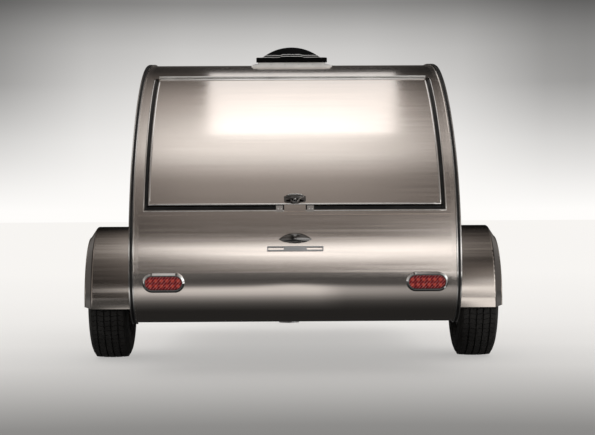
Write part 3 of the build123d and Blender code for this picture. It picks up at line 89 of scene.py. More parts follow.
# How it fades by the sideways part of the direction, and where the one behind gives way to the others
STUDIO_FADE = [(0.0, 1.0), (0.075, 1.0), (0.092, 0.6), (0.106, 0.2), (0.13, 0.14), (0.2, 0.15), (0.4, 0.5)]
STUDIO_FADE += [(1.0, 0.6)]
AHEAD_FROM = (-0.12, 0.12)
ASIDE_FROM = (0.25, 0.55)
# The bright band behind the camera: brightness and share by degrees above its lower and upper edges, how far
# its lower edge rises from the middle outwards, how far its upper edge rises to the right, and its fade sideways
BAND_MIDDLE = 0.03
BAND_LOW = [(-1, 0.03), (0.5, 0.07), (2.5, 0.28), (4, 0.68), (6, 1.25), (8, 1.5)]
BAND_HIGH = [(12, 1.0), (14, 0.8), (15.5, 0.45), (17.5, 0.12), (20, 0.03), (24, 0.0)]
BAND_BOW = [(0.0, 0.0), (0.05, 2.2), (0.066, 3.8), (0.083, 5.3), (0.1, 7.0), (0.13, 7.5)]
BAND_RISE = [(-0.01, 0.0), (0.03, 1.2)]
BAND_FADE = [(-0.101, 0.0), (-0.095, 1.0), (0.12, 1.0), (0.16, 0.0)]
# The glow on the right: (degrees above the horizon, brightness), and where it starts
RIGHT_GLOW = [(0, 0.9), (8, 1.3), (22, 0.95), (32, 0.4), (50, 0.08), (60, 0.0)]
RIGHT_GLOW_START = (0.117, 0.13)
# (degrees above the horizon, brightness) of the backdrop that the camera sees
BACKDROP = [(0, 1.0), (1.2, 0.99), (2.9, 0.93), (4.6, 0.80), (6.3, 0.62), (7.0, 0.50), (8.0, 0.27), (12, 0.25)]
# (sideways part of the direction, how much darker the backdrop is there), how much of that there is at its
# foot and higher up, and between which heights it grows
BACKDROP_EDGE = [(0.0, 0.0), (0.06, 0.08), (0.122, 0.41), (0.175, 1.0), (0.2, 1.1), (0.35, 0.6), (0.6, 0.2)]
EDGE_SHARES = (0.0, 0.52)
EDGE_HEIGHTS = (0.3, 5.0)


# Shader helpers


def tree_of(name):
    """A new material and its empty node tree."""
    material = bpy.data.materials.new(name)
    material.use_nodes = True
    material.node_tree.nodes.clear()
    return material, material.node_tree


def put(tree, target, value):
    """Links a socket to that input, or sets the input to a constant."""
    if isinstance(value, bpy.types.NodeSocket):
        tree.links.new(value, target)
    else:
        target.default_value = value


def node(tree, kind, inputs=None, **settings):
    """A new node with those inputs and settings."""
    made = tree.nodes.new(kind)
    for key, value in settings.items():
        setattr(made, key, value)
    for key, value in (inputs or {}).items():
        put(tree, made.inputs[key], value)
    return made


def maths(tree, operation, *values):
    """The result of a Math node."""
    return node(tree, "ShaderNodeMath", dict(enumerate(values)), operation=operation).outputs[0]


def product(tree, first, *others):
    """All the values, multiplied."""
    for other in others:
        first = maths(tree, "MULTIPLY", first, other)
    return first


def curve(tree, value, stops):
    """A smooth function of a socket's value, through points of (value, result)."""
    low, high = stops[0][0], stops[-1][0]
    top = max(result for _, result in stops) or 1.0
    ramp = node(tree, "ShaderNodeValToRGB", {"Fac": fraction(tree, value, low, high)})
    elements = ramp.color_ramp.elements
    while len(elements) > 1:
        elements.remove(elements[-1])
    for i, (at, result) in enumerate(stops):
        element = elements[0] if i == 0 else elements.new((at - low) / (high - low))
        element.position = (at - low) / (high - low)
        element.color = (result / top, result / top, result / top, 1.0)
    return product(tree, ramp.outputs[0], top)


def mixed(tree, share, first, second):
    """A value that goes from the first to the second with the share."""
    return node(tree, "ShaderNodeMix", {0: share, 2: first, 3: second}).outputs[0]


def blend_colours(tree, share, first, second, **settings):
    """A colour that goes from the first to the second with the share."""
    inputs = {0: share, 6: first, 7: second}
    return node(tree, "ShaderNodeMix", inputs, data_type="RGBA", **settings).outputs[2]


def place_of(tree):
    return node(tree, "ShaderNodeTexCoord").outputs["Object"]


def parts_of(tree, vector):
    """The x, y and z of a vector."""
    return node(tree, "ShaderNodeSeparateXYZ", {"Vector": vector}).outputs


def noise(tree, size, detail=3.0, roughness=0.55, offset=0.0):
    """Noise with that many features per metre of the object, alike or separately along x, y and z."""
    size = size if isinstance(size, tuple) else (size,) * 3
    inputs = {"Vector": place_of(tree), "Scale": size, "Location": (offset,) * 3}
    scaled = node(tree, "ShaderNodeMapping", inputs).outputs[0]
    inputs = {"Vector": scaled, "Scale": 1.0, "Detail": detail, "Roughness": roughness}
    return node(tree, "ShaderNodeTexNoise", inputs).outputs["Fac"]


def spread(tree, value, low, high, start=0.3, end=0.7):
    """The value, stretched from its usual range to another."""
    inputs = {"Value": value, "From Min": start, "From Max": end, "To Min": low, "To Max": high}
    return node(tree, "ShaderNodeMapRange", inputs).outputs[0]


def fraction(tree, value, start=0.3, end=0.7):
    """How far the value has gone from start to end, as 0 to 1."""
    return spread(tree, value, 0.0, 1.0, start, end)


def bumped(tree, height, distance):
    inputs = {"Height": height, "Distance": distance, "Strength": 1.0}
    return node(tree, "ShaderNodeBump", inputs).outputs[0]


def shaded(tree, colour, rough, normal=None, **constants):
    """A Principled shader on the material's output."""
    inputs = {"Base Color": colour, "Roughness": rough, **constants}
    if normal is not None:
        inputs["Normal"] = normal
    shader = node(tree, "ShaderNodeBsdfPrincipled", inputs)
    node(tree, "ShaderNodeOutputMaterial", {"Surface": shader.outputs[0]})


def rgba(colour, scale=1.0):
    return (*(min(1.0, part * scale) for part in colour), 1.0)


# Materials. Numbers in them are a texture's features per metre, roughness, and shares of tones and patterns.

BRUSH_FINE = 900.0
BRUSH_LONG = 2.5
STREAK_FINE = 70.0
STREAK_LONG = 1.2


def brushed(name, colour, rough, along="X", fine=0.00003, streak=0.06):
    """Metal brushed in lines along one axis: fine lines that spread its reflections, and broader faint streaks."""
    material, tree = tree_of(name)
    lines = tuple(BRUSH_LONG if axis == along else BRUSH_FINE for axis in "XYZ")
    streaks = tuple(STREAK_LONG if axis == along else STREAK_FINE for axis in "XYZ")
    fine_noise = noise(tree, lines, detail=2.0, roughness=0.7)
    streak_noise = noise(tree, streaks, detail=4.0, roughness=0.6, offset=3.1)
    cloud = noise(tree, 3.0, offset=7.7)
    shade = fraction(tree, maths(tree, "ADD", streak_noise, product(tree, cloud, 0.5)), 0.45, 1.05)
    tone = blend_colours(tree, shade, rgba(colour, 1.0 - streak), rgba(colour, 1.0 + streak))
    gloss = spread(tree, streak_noise, rough - 0.03, rough + 0.05)
    shaded(tree, tone, gloss, bumped(tree, fine_noise, fine), Metallic=1.0)
    return material


def faced(material):
    """A material's tree, its shader, and the three parts of the surface's normal."""
    tree = material.node_tree
    shader = next(made for made in tree.nodes if made.type == "BSDF_PRINCIPLED")
    normal = node(tree, "ShaderNodeNewGeometry").outputs["Normal"]
    return tree, shader, parts_of(tree, normal)


# Share of the colour that is left, by how far the surface faces sideways: painted shade on the fender's rolled
# edge
ROLLED_EDGE_SHADE = [(0.0, 1.0), (0.25, 1.0), (0.45, 0.16), (0.92, 0.16), (0.985, 1.0), (1.0, 1.0)]


def painted_rolled_edge_shade(material):
    """Paints shade into the colour of the surfaces that turn from facing back or up to facing sideways."""
    tree, shader, normal = faced(material)
    left = curve(tree, maths(tree, "ABSOLUTE", normal[0]), ROLLED_EDGE_SHADE)
    tone = shader.inputs["Base Color"].links[0].from_socket
    put(tree, shader.inputs["Base Color"], blend_colours(tree, 1.0, tone, left, blend_type="MULTIPLY"))
    return material


def dull_behind(material):
    """Takes the sheen off the surfaces that face back, which the softbox would turn grey."""
    tree, shader, normal = faced(material)
    put(tree, shader.inputs["Specular IOR Level"], spread(tree, normal[1], 0.0, 0.4, -0.2, 0.1))
    return material


def plain_metal(name, colour, rough, grain=160.0, depth=0.00003, metallic=1.0):
    """Metal or painted metal with a fine even grain."""
    material, tree = tree_of(name)
    grains = noise(tree, grain, detail=4.0)
    cloud = noise(tree, 9.0, detail=4.0, offset=2.3)
    tone = blend_colours(tree, fraction(tree, cloud), rgba(colour, 0.88), rgba(colour, 1.06))
    gloss = spread(tree, cloud, rough * 0.85, rough * 1.25)
    shaded(tree, tone, gloss, bumped(tree, grains, depth), Metallic=metallic)
    return material


def soft_black(name, colour, rough, grain=260.0, depth=0.00015):
    """Rubber: matt, a little dusty in patches."""
    material, tree = tree_of(name)
    grains = noise(tree, grain, detail=5.0)
    dust = noise(tree, 14.0, detail=5.0, offset=5.0)
    dusty = tuple(part * 1.8 + 0.012 for part in colour)
    tone = blend_colours(tree, spread(tree, dust, 0.0, 0.8, 0.4, 0.75), rgba(colour), rgba(dusty))
    gloss = spread(tree, dust, rough - 0.08, rough + 0.1)
    shaded(tree, tone, gloss, bumped(tree, grains, depth), **{"Specular IOR Level": 0.35})
    return material


def moulded(name, colour, rough):
    """Moulded plastic with a faint orange-peel surface."""
    material, tree = tree_of(name)
    peel = noise(tree, 420.0, detail=2.0)
    cloud = noise(tree, 20.0, detail=4.0, offset=1.4)
    tone = blend_colours(tree, fraction(tree, cloud), rgba(colour, 0.9), rgba(colour, 1.05))
    shaded(tree, tone, spread(tree, cloud, rough * 0.8, rough * 1.3), bumped(tree, peel, 0.00004))
    return material


RIB_TURN = math.radians(42)
CELL_RIB_PITCH = 0.0105
LENS_RELIEF = 0.001
LENS_LENGTH = 0.152
CELLS_ALONG = 0.0257
CELLS_UP = 0.0245
CELLS_DROP = 0.003


def ribs(tree, turn, pitch):
    """Diagonal ribs across a lens."""
    inputs = {"Vector": place_of(tree), "Rotation": (0.0, turn, 0.0)}
    turned = node(tree, "ShaderNodeMapping", inputs).outputs[0]
    inputs = {"Vector": turned, "Scale": math.pi / 10.0 / pitch}
    return node(tree, "ShaderNodeTexWave", inputs, bands_direction="X").outputs["Fac"]


def lens_shader(tree, colours, rib, fleck, under, under_end, under_rise):
    """A lens with a pattern under flecked ribs that carry painted highlights. Its colours are usual, deep, and the
    bright tone of those highlights.
    """
    flecks = noise(tree, 60.0)
    painted_glint = product(tree, rib, spread(tree, flecks, fleck, 1.0))
    colour, deep, bright = (rgba(part) for part in colours)
    tone = blend_colours(tree, fraction(tree, under, 0.3, under_end), deep, colour)
    tone = blend_colours(tree, painted_glint, tone, bright)
    height = maths(tree, "ADD", painted_glint, product(tree, under, under_rise))
    coat = {"Coat Weight": 0.4, "Coat Roughness": 0.05}
    shaded(tree, tone, spread(tree, flecks, 0.12, 0.25), bumped(tree, height, LENS_RELIEF), **coat)


def prism_lens(name, colours, pitch):
    """A lens over rows of prisms: diagonal ribs with painted highlights one way, fainter ones the other way."""
    material, tree = tree_of(name)
    rib = fraction(tree, ribs(tree, -RIB_TURN, pitch), 0.72, 0.97)
    lens_shader(tree, colours, rib, 0.3, ribs(tree, RIB_TURN, pitch / 2), 0.9, 0.5)
    return material


def cell_lens(name, lamps, colours):
    """A lens with two rows of round bright cells, under fine diagonal ribs with painted highlights."""
    material, tree = tree_of(name)
    low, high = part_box(lamps)
    parts = parts_of(tree, place_of(tree))
    along = maths(tree, "SUBTRACT", maths(tree, "ABSOLUTE", parts[0]), high.x - LENS_LENGTH / 2)
    up = maths(tree, "SUBTRACT", parts[2], (low.z + high.z) / 2 - CELLS_DROP)
    column = maths(tree, "ABSOLUTE", maths(tree, "COSINE", product(tree, along, math.pi / CELLS_ALONG)))
    row = maths(tree, "ABSOLUTE", maths(tree, "SINE", product(tree, up, math.pi / CELLS_UP)))
    rib = spread(tree, ribs(tree, -RIB_TURN, CELL_RIB_PITCH), 0.0, 0.6, 0.75, 0.97)
    lens_shader(tree, colours, rib, 0.2, product(tree, column, row), 0.85, 0.6)
    return material


def glass(name, colour):
    """Clear plastic or glass with a faint smear."""
    material, tree = tree_of(name)
    smear = noise(tree, 30.0)
    tone = blend_colours(tree, fraction(tree, smear), rgba(colour, 0.96), rgba(colour, 1.02))
    shaded(tree, tone, spread(tree, smear, 0.024, 0.072), **{"Transmission Weight": 0.95, "IOR": 1.45})
    return material


def plywood(name, colour):
    """Varnished birch: long grain along x with darker flecks."""
    material, tree = tree_of(name)
    grain = noise(tree, (4.0, 90.0, 90.0), detail=6.0, roughness=0.65)
    rings = noise(tree, (1.2, 14.0, 14.0), offset=4.0)
    tone = blend_colours(tree, fraction(tree, rings), rgba(colour, 0.82), rgba(colour, 1.08))
    tone = blend_colours(tree, spread(tree, grain, 0.0, 0.55, 0.5, 0.8), tone, rgba(colour, 0.55))
    coat = {"Coat Weight": 0.3, "Coat Roughness": 0.25}
    shaded(tree, tone, spread(tree, grain, 0.3, 0.5), bumped(tree, grain, 0.0002), **coat)
    return material


def woven(name, colour, threads=700.0):
    """Plain woven cloth: crossed threads over a soft mottle."""
    material, tree = tree_of(name)
    inputs = {"Vector": place_of(tree), "Scale": threads / 20.0}
    waves = [node(tree, "ShaderNodeTexWave", inputs, bands_direction=axis).outputs["Fac"] for axis in "XY"]
    weave = product(tree, *waves)
    mottle = noise(tree, 18.0, detail=5.0)
    tone = blend_colours(tree, fraction(tree, mottle), rgba(colour, 0.85), rgba(colour, 1.08))
    tone = blend_colours(tree, spread(tree, weave, 0.25, 0.0, 0.0, 1.0), tone, rgba(colour, 0.5))
    sheen = {"Sheen Weight": 0.25, "Sheen Roughness": 0.5, "Specular IOR Level": 0.2}
    shaded(tree, tone, spread(tree, mottle, 0.8, 0.95), bumped(tree, weave, 0.0004), **sheen)
    return material


SKIN = (0.84, 0.765, 0.71)
FENDER = (0.60, 0.545, 0.50)
# Lens colours: usual, deep, and the bright tone of the painted highlights on their ribs
RED = ((0.86, 0.10, 0.07), (0.30, 0.012, 0.02), (0.98, 0.45, 0.42))
AMBER = ((0.75, 0.28, 0.03), (0.40, 0.11, 0.01), (0.95, 0.6, 0.25))
skin_x = brushed("brushed_across", SKIN, 0.16)
skin_y = brushed("brushed_lengthways", SKIN, 0.2, along="Y", streak=0.025)
fender_metal = brushed("brushed_fender", FENDER, 0.12, fine=0.00001, streak=0.03)
tinted = glass("window_glass", (0.28, 0.28, 0.27))
satin = plain_metal("satin_steel", (0.92, 0.905, 0.885), 0.38, grain=90.0)
# A darker copy of chrome: painted shade for the plate lamp and the handle, in place of the dark studio they
# reflect
painted_shade_chrome = plain_metal("chrome_painted_shade", (0.2, 0.195, 0.19), 0.12, grain=60.0, depth=0.00002)
piping_cloth = woven("piping_cloth", (0.16, 0.15, 0.14), threads=900.0)

# The finish of each material slot, and of the nodes that have one of their own
FINISHES = {
    "brushed_skin": skin_x,
    # The fender's finish has painted shade on its rolled edge
    "fender_skin": painted_rolled_edge_shade(fender_metal),
    "bright_trim": plain_metal("bright_trim", (0.82, 0.80, 0.78), 0.14),
    "chrome": plain_metal("chrome", (0.86, 0.85, 0.84), 0.07, grain=60.0, depth=0.00002),
    "black_rubber": soft_black("black_rubber", (0.008, 0.008, 0.008), 0.5),
    "tyre": soft_black("tyre_rubber", (0.022, 0.021, 0.02), 0.7, grain=420.0, depth=0.0003),
    "red_lens": cell_lens("red_lens", "tail_lenses", RED),
    "amber_lens": prism_lens("amber_lens", AMBER, 0.009),
    "clear_lens": glass("clear_lens", (0.92, 0.93, 0.93)),
    "steel_black": plain_metal("chassis_paint", (0.022, 0.022, 0.023), 0.38, grain=300.0, metallic=0.0),
    "steel_zinc": plain_metal("zinc_plate", (0.62, 0.62, 0.63), 0.33, grain=90.0, depth=0.00006),
    "alloy": plain_metal("machined_alloy", (0.68, 0.68, 0.69), 0.24),
    "white_plastic": moulded("white_plastic", (0.93, 0.92, 0.90), 0.4),
    "smoked_plastic": dull_behind(moulded("smoked_plastic", (0.006, 0.006, 0.006), 0.15)),
    "birch_ply": plywood("birch_ply", (0.70, 0.52, 0.33)),
    "mattress_fabric": woven("mattress_cloth", (0.52, 0.49, 0.44)),
    "strut_black": plain_metal("strut_paint", (0.015, 0.015, 0.016), 0.25, metallic=0.0),
    "strut_rod": plain_metal("strut_steel", (0.75, 0.75, 0.76), 0.1),
}
OWN_FINISH = {
    "side_walls": skin_y,
    "door_panel_left": skin_y,
    "door_panel_right": skin_y,
    "door_glass_left": tinted,
    "door_glass_right": tinted,
    "hatch_frame": skin_x,
    "hinge_barrel": satin,
    "hinge_leaf": satin,
    "plate_lamp": painted_shade_chrome,
    "hatch_handle": painted_shade_chrome,
}
for part in frame["record"]["subparts"]:
    cad = NODES[part["node"]]
    finish = OWN_FINISH.get(part["node"], FINISHES[part["material_slot"]])
    if not cad.material_slots:
        cad.data.materials.append(finish)
    for material_slot in cad.material_slots:
        material_slot.material = finish


# Pieces that the CAD leaves to the looks

# How far outside a piece a ray towards it starts
PROBE = 0.1


def sharpen(mesh, degrees):
    """Keeps edges that turn by more than that crisp, on a smooth-shaded mesh."""
    grid = bmesh.new()
    grid.from_mesh(mesh)
    bmesh.ops.recalc_face_normals(grid, faces=grid.faces)
    for edge in grid.edges:
        if len(edge.link_faces) == 2 and edge.calc_face_angle(0.0) > math.radians(degrees):
            edge.smooth = False
    grid.to_mesh(mesh)
    grid.free()


def piece(name, shape, slot, body, material=None, smooth=True, crisp=None, replaced=()):
    """A mesh piece of (points, faces) that rides on a body, in its slot's finish or another.

    Its edges that turn by more than `crisp` degrees stay crisp.
    """
    points, faces = shape
    mesh = bpy.data.meshes.new(name)
    mesh.from_pydata([tuple(point) for point in points], [], faces)
    mesh.validate()
    mesh.update()
    mesh.materials.append(material or FINISHES[slot])
    for polygon in mesh.polygons:
        polygon.use_smooth = smooth
    made = bpy.data.objects.new(name, mesh)
    bpy.context.collection.objects.link(made)
    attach(made, body)
    if replaced:
        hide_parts(*replaced)
    if crisp:
        sharpen(made.data, crisp)


def lathe(profile, segments, spot, axis=ACROSS):
    """Points and faces of a profile of (offset, radius), turned about an axis that starts at a spot."""
    turned = ACROSS.rotation_difference(axis).to_matrix()
    points, faces = [], []
    count = len(profile)
    for i in range(segments):
        turn = 2 * math.pi * i / segments
        for offset, radius in profile:
            points.append(spot + turned @ Vector((offset, radius * math.sin(turn), radius * math.cos(turn))))
        first, second = i * count, (i + 1) % segments * count
        for j in range(count - 1):
            faces.append((first + j, first + j + 1, second + j + 1, second + j))
    return points, faces


HEAD_RINGS = ((1.0, 0.0), (0.96, 0.35), (0.8, 0.7), (0.5, 0.93))
HEX_RINGS = ((1.0, 0.0), (1.0, 0.85), (0.86, 1.0))


def dome_heads(spots, radius, height, segments=12, rings=HEAD_RINGS):
    """Points and faces of round screw heads on spots of (place, normal)."""
    points, faces = [], []
    for place, normal in spots:
        turn = UP.rotation_difference(normal).to_matrix()
        first = len(points)
        for ring, (share, rise) in enumerate(rings):
            for k in range(segments):
                angle = 2 * math.pi * k / segments
                flat = share * radius * Vector((math.cos(angle), math.sin(angle), 0.0))
                points.append(place + turn @ (flat + rise * height * UP))
                if ring:
                    after = (k + 1) % segments
                    a, b = first + (ring - 1) * segments, first + ring * segments
                    faces.append((a + k, a + after, b + after, b + k))
        faces.append(tuple(first + (len(rings) - 1) * segments + k for k in range(segments)))
    return points, faces


def nearest(name, point):
    """The nearest point of a CAD node's surface, and its normal there."""
    _, spot, normal, _ = NODES[name].closest_point_on_mesh(Vector(point))
    return spot, normal


def hit(name, start, direction):
    """Where a ray from the start first meets a CAD node, and its normal there."""
    found, spot, normal, _ = NODES[name].ray_cast(Vector(start), direction.normalized())
    return (spot, normal) if found else None


def heads(name, part, rays, radius, height, slot, body, **settings):
    """Screw, rivet or bolt heads as one piece, where rays of (start, direction) meet a CAD node."""
    spots = [spot for spot in (hit(part, *ray) for ray in rays) if spot]
    piece(name, dome_heads(spots, radius, height, **settings), slot, body, crisp=40.0)


ROUND_STEPS = 6


def loop(length, width, corner, pitch=0.012):
    """Points (a, b) about the middle of a rectangle with round corners, close together along its outline."""
    turns = []
    for quarter, (a, b) in enumerate(((1, 1), (-1, 1), (-1, -1), (1, -1))):
        for k in range(ROUND_STEPS + 1):
            angle = math.radians(90.0 * (quarter + k / ROUND_STEPS))
            middle = Vector((a * (length / 2 - corner), b * (width / 2 - corner)))
            turns.append(middle + corner * Vector((math.cos(angle), math.sin(angle))))
    spots = []
    for start, end in zip(turns, turns[1:] + turns[:1]):
        count = max(1, round((end - start).length / pitch))
        spots += [start.lerp(end, k / count) for k in range(count)]
    return spots


def row(start, end, count):
    """Evenly spaced points from the start to the end."""
    return [start.lerp(end, k / count) for k in range(count + 1)]


def facing(path, up):
    """The places of a path, each with the same direction out of the surface."""
    return [(place, up) for place in path]


def bead(path, radius, sides=8, closed=True, lumps=0.0, flat=1.0):
    """Points and faces of a bead along a path of (place, direction out of the surface)."""
    points, faces, count = [], [], len(path)
    for i, (place, up) in enumerate(path):
        before = path[i - 1][0] if closed or i else place
        after = path[(i + 1) % count][0] if closed or i < count - 1 else place
        ahead = (after - before).normalized()
        aside = ahead.cross(up).normalized()
        rise = aside.cross(ahead)
        for k in range(sides):
            angle = 2 * math.pi * k / sides
            offset = math.cos(angle) * aside + flat * math.sin(angle) * rise
            size = radius * (1 + lumps * ripple.noise((place + offset * radius) * LUMPS_PER_METRE))
            points.append(place + size * offset)
    for i in range(count if closed else count - 1):
        for k in range(sides):
            first, second = i * sides, (i + 1) % count * sides
            following = (k + 1) % sides
            faces.append((first + k, first + following, second + following, second + k))
    if not closed:
        faces.append(tuple(range(sides - 1, -1, -1)))
        faces.append(tuple((count - 1) * sides + k for k in range(sides)))
    return points, faces


LUMPS_PER_METRE = 90.0


def merged(parts):
    """Several lots of points and faces as one."""
    points, faces = [], []
    for more, extra in parts:
        faces += [tuple(k + len(points) for k in face) for face in extra]
        points += more
    return points, faces


# Tyre: (share of half the width, share of the way from rim to tread) of its side, from the bead outwards
TYRE_SIDE = [(0.70, -0.02), (0.78, 0.0), (0.86, 0.05), (0.9, 0.11), (0.885, 0.15), (0.94, 0.24), (0.97, 0.26)]
TYRE_SIDE += [(0.965, 0.3), (0.995, 0.42), (1.0, 0.52), (0.985, 0.64), (0.955, 0.74), (0.93, 0.75), (0.92, 0.8)]
TYRE_SIDE += [(0.88, 0.87), (0.82, 0.915), (0.74, 0.935)]
TYRE_CROWN = (0.7, 0.45, 0.2, 0.0)
TYRE_SEGMENTS = 96
# Ribs of the tread: (from, to) across its half width, and how far the cuts between its blocks slant
RIBS = [(-1.0, -0.68, 0.5), (-0.6, -0.24, -0.4), (-0.17, 0.17, 0.35), (0.24, 0.6, 0.4), (0.68, 1.0, -0.5)]
BLOCKS = 72
BLOCK_SHARE = 0.9
BLOCK_BEVEL = 0.0008
TREAD_HALF_SHARE = 0.8
TREAD_DEPTH = 0.011
CROWN_DROP = 0.007
RIM_RADIUS = 0.178


def road_tyre(side):
    """A tyre with a ribbed sidewall and a tread of cut ribs."""
    low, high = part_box(f"tyre_{side}")
    middle, half, outer = (low + high) / 2, (high.x - low.x) / 2, (high.z - low.z) / 2
    wall = [(half * a, RIM_RADIUS + b * (outer - RIM_RADIUS)) for a, b in TYRE_SIDE]
    base = outer - TREAD_DEPTH
    crown = [(half * a, base - CROWN_DROP * a * a) for a in TYRE_CROWN]
    profile = wall + crown + [(-a, r) for a, r in reversed(wall + crown[:-1])]
    points, faces = lathe(profile, TYRE_SEGMENTS, middle)
    tread = half * TREAD_HALF_SHARE
    for start, end, slant in RIBS:
        for i in range(BLOCKS):
            first = len(points)
            for top in (0, 1):
                for a, share in ((start, 0.0), (end, 0.0), (end, BLOCK_SHARE), (start, BLOCK_SHARE)):
                    lean = slant * 0.5 * ((a - start) / (end - start) - 0.5)
                    turn = 2 * math.pi * (i + share + lean) / BLOCKS
                    inset = BLOCK_BEVEL * top
                    x = tread * a + (inset if a == start else -inset)
                    r = outer - CROWN_DROP * (a * TREAD_HALF_SHARE) ** 2 if top else base - 2 * CROWN_DROP * a * a
                    points.append(middle + Vector((x, r * math.sin(turn), r * math.cos(turn))))
            faces.append(tuple(first + k for k in (4, 5, 6, 7)))
            for k in range(4):
                faces.append((first + k, first + (k + 1) % 4, first + 4 + (k + 1) % 4, first + 4 + k))
    piece(f"road_tyre_{side}", (points, faces), "tyre", f"wheel_{side}", crisp=25.0, replaced=[f"tyre_{side}"])


# Hatch: its hinge

HINGE_AXIS = Vector(next(j for j in frame["joints"] if j["name"] == "hatch_hinge")["pos_m"])
HATCH_LOW, HATCH_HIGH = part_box("hatch_panel")
SCREW_PITCH = 0.0773
SCREW_RADIUS = 0.0042
SCREW_HEIGHT = 0.0022
SCREW_END = 0.06
KNUCKLE_PITCH = 0.0258
KNUCKLE_GAP = 0.0012
KNUCKLE_RADIUS = 0.0056
KNUCKLE_BEVEL = 0.0005
# (leaf, body, place of its screws behind and above the pin)
LEAVES = (("hinge_barrel", "chassis", 0.013, 0.006), ("hinge_leaf", "hatch", -0.017, -0.012))


def hatch_hinge():
    """A piano hinge: knuckles by turns on hatch and roof, and a row of screws in each leaf."""
    count = int((HATCH_HIGH.x - HATCH_LOW.x) / KNUCKLE_PITCH)
    half = (KNUCKLE_PITCH - KNUCKLE_GAP) / 2
    shell = [(half, 0.0), (half, KNUCKLE_RADIUS - KNUCKLE_BEVEL), (half - KNUCKLE_BEVEL, KNUCKLE_RADIUS)]
    shell = [(-a, r) for a, r in shell] + shell[::-1]
    spots = int((HATCH_HIGH.x - SCREW_END) / SCREW_PITCH)
    for remainder, (leaf, body, dy, dz) in enumerate(LEAVES):
        parts = []
        for i in range(remainder, count, 2):
            parts.append(lathe(shell, 14, HINGE_AXIS + (i + 0.5 - count / 2) * KNUCKLE_PITCH * ACROSS))
        piece(f"hinge_knuckles_{body}", merged(parts), "bright_trim", body, satin, crisp=40.0)
        found = []
        for i in range(-spots, spots + 1):
            found.append(nearest(leaf, (i * SCREW_PITCH, HINGE_AXIS.y + dy, HINGE_AXIS.z + dz)))
        piece(f"hinge_screws_{body}", dome_heads(found, SCREW_RADIUS, SCREW_HEIGHT), "chrome", body)


# Hatch: its edges

HEM_STEPS = 60
HEM_ROW = 40
HEM_REACH = 1.5
# Where the hems end under the hinge
HATCH_HEM_TOP = -1.285
FRAME_HEM_TOP = -1.262
EDGE_BEAD_INSET = 0.0045
EDGE_BEAD_RADIUS = 0.0042
HATCH_EDGE_Z = 0.7965
FRAME_LIP_X = 0.7035
FRAME_LIP_Z = 0.7655
FRAME_LIP_RADIUS = 0.0024
GAP_LIP_X = 0.6877
GAP_LIP_SINK = 0.012
GAP_LIP_RADIUS = 0.0045
GAP_LIP_ROW = (-1.9600, 0.7812)
GAP_LIP_ROW_RADIUS = 0.0062


def hem(name, x, z, top, sink=0.0):
    """Places and normals on a curved panel: down its left edge, along its lower edge and up its right edge."""
    side = []
    for k in range(HEM_STEPS + 1):
        angle = math.radians(90.0 * k / HEM_STEPS)
        out = Vector((0, -math.cos(angle), math.sin(angle)))
        found = hit(name, Vector((x, HINGE_AXIS.y, z)) + HEM_REACH * out, -out)
        if found and found[0].y < top:
            side.append((found[0] - sink * found[1], found[1]))
    left = [(Vector((-spot.x, spot.y, spot.z)), up) for spot, up in reversed(side)]
    return left + facing(row(left[-1][0], side[0][0], HEM_ROW)[1:-1], side[0][1]) + side


def hatch_edges():
    """A bright bead round the hatch, a thin one on its frame beside the gasket, and a rubber lip in the gap."""
    edge = (HATCH_HIGH.x - EDGE_BEAD_INSET, HATCH_EDGE_Z, HATCH_HEM_TOP)
    shape = bead(hem("hatch_panel", *edge), EDGE_BEAD_RADIUS, closed=False, flat=0.7)
    piece("hatch_edge_bead", shape, "bright_trim", "hatch")
    shape = bead(hem("hatch_frame", FRAME_LIP_X, FRAME_LIP_Z, FRAME_HEM_TOP), FRAME_LIP_RADIUS, closed=False)
    piece("hatch_frame_lip", shape, "bright_trim", "chassis")
    parts = []
    for sign in (-1, 1):
        path = []
        for spot, up in hem("hatch_panel", *edge, sink=GAP_LIP_SINK):
            if spot.x * sign > HATCH_HIGH.x - 2 * EDGE_BEAD_INSET:
                path.append((Vector((sign * GAP_LIP_X, spot.y, spot.z)), up))
        parts.append(bead(path, GAP_LIP_RADIUS, closed=False))
    ends = [Vector((x, *GAP_LIP_ROW)) for x in (-GAP_LIP_X, GAP_LIP_X)]
    parts.append(bead(facing(row(*ends, HEM_ROW), -AHEAD), GAP_LIP_ROW_RADIUS, closed=False))
    piece("hatch_gap_lip", merged(parts), "black_rubber", "chassis")


# Hatch: rivets in the clips, the lock with its key slot painted as a black block, and a satin bead on the handle's
# upper edge as a painted highlight

CLIP_RIVETS_X = (-0.0656, -0.0784, 0.0656, 0.0784)
LOCK_CORE = [(0.0, 0.0), (0.0, 0.0066), (0.0022, 0.0062), (0.0024, 0.0048), (0.0016, 0.0042), (0.0016, 0.0)]
LOCK_DROP = 0.002
LOCK_SINK = 0.0006
KEY_SLOT = (0.0006, 0.003, 0.0016)
# A satin bead along the top of the handle, added as a painted highlight on the dark handle
HANDLE_EDGE_IN = 0.007
HANDLE_EDGE_X = 0.033
HANDLE_EDGE_STEPS = 32
HANDLE_EDGE_RADIUS = 0.0021


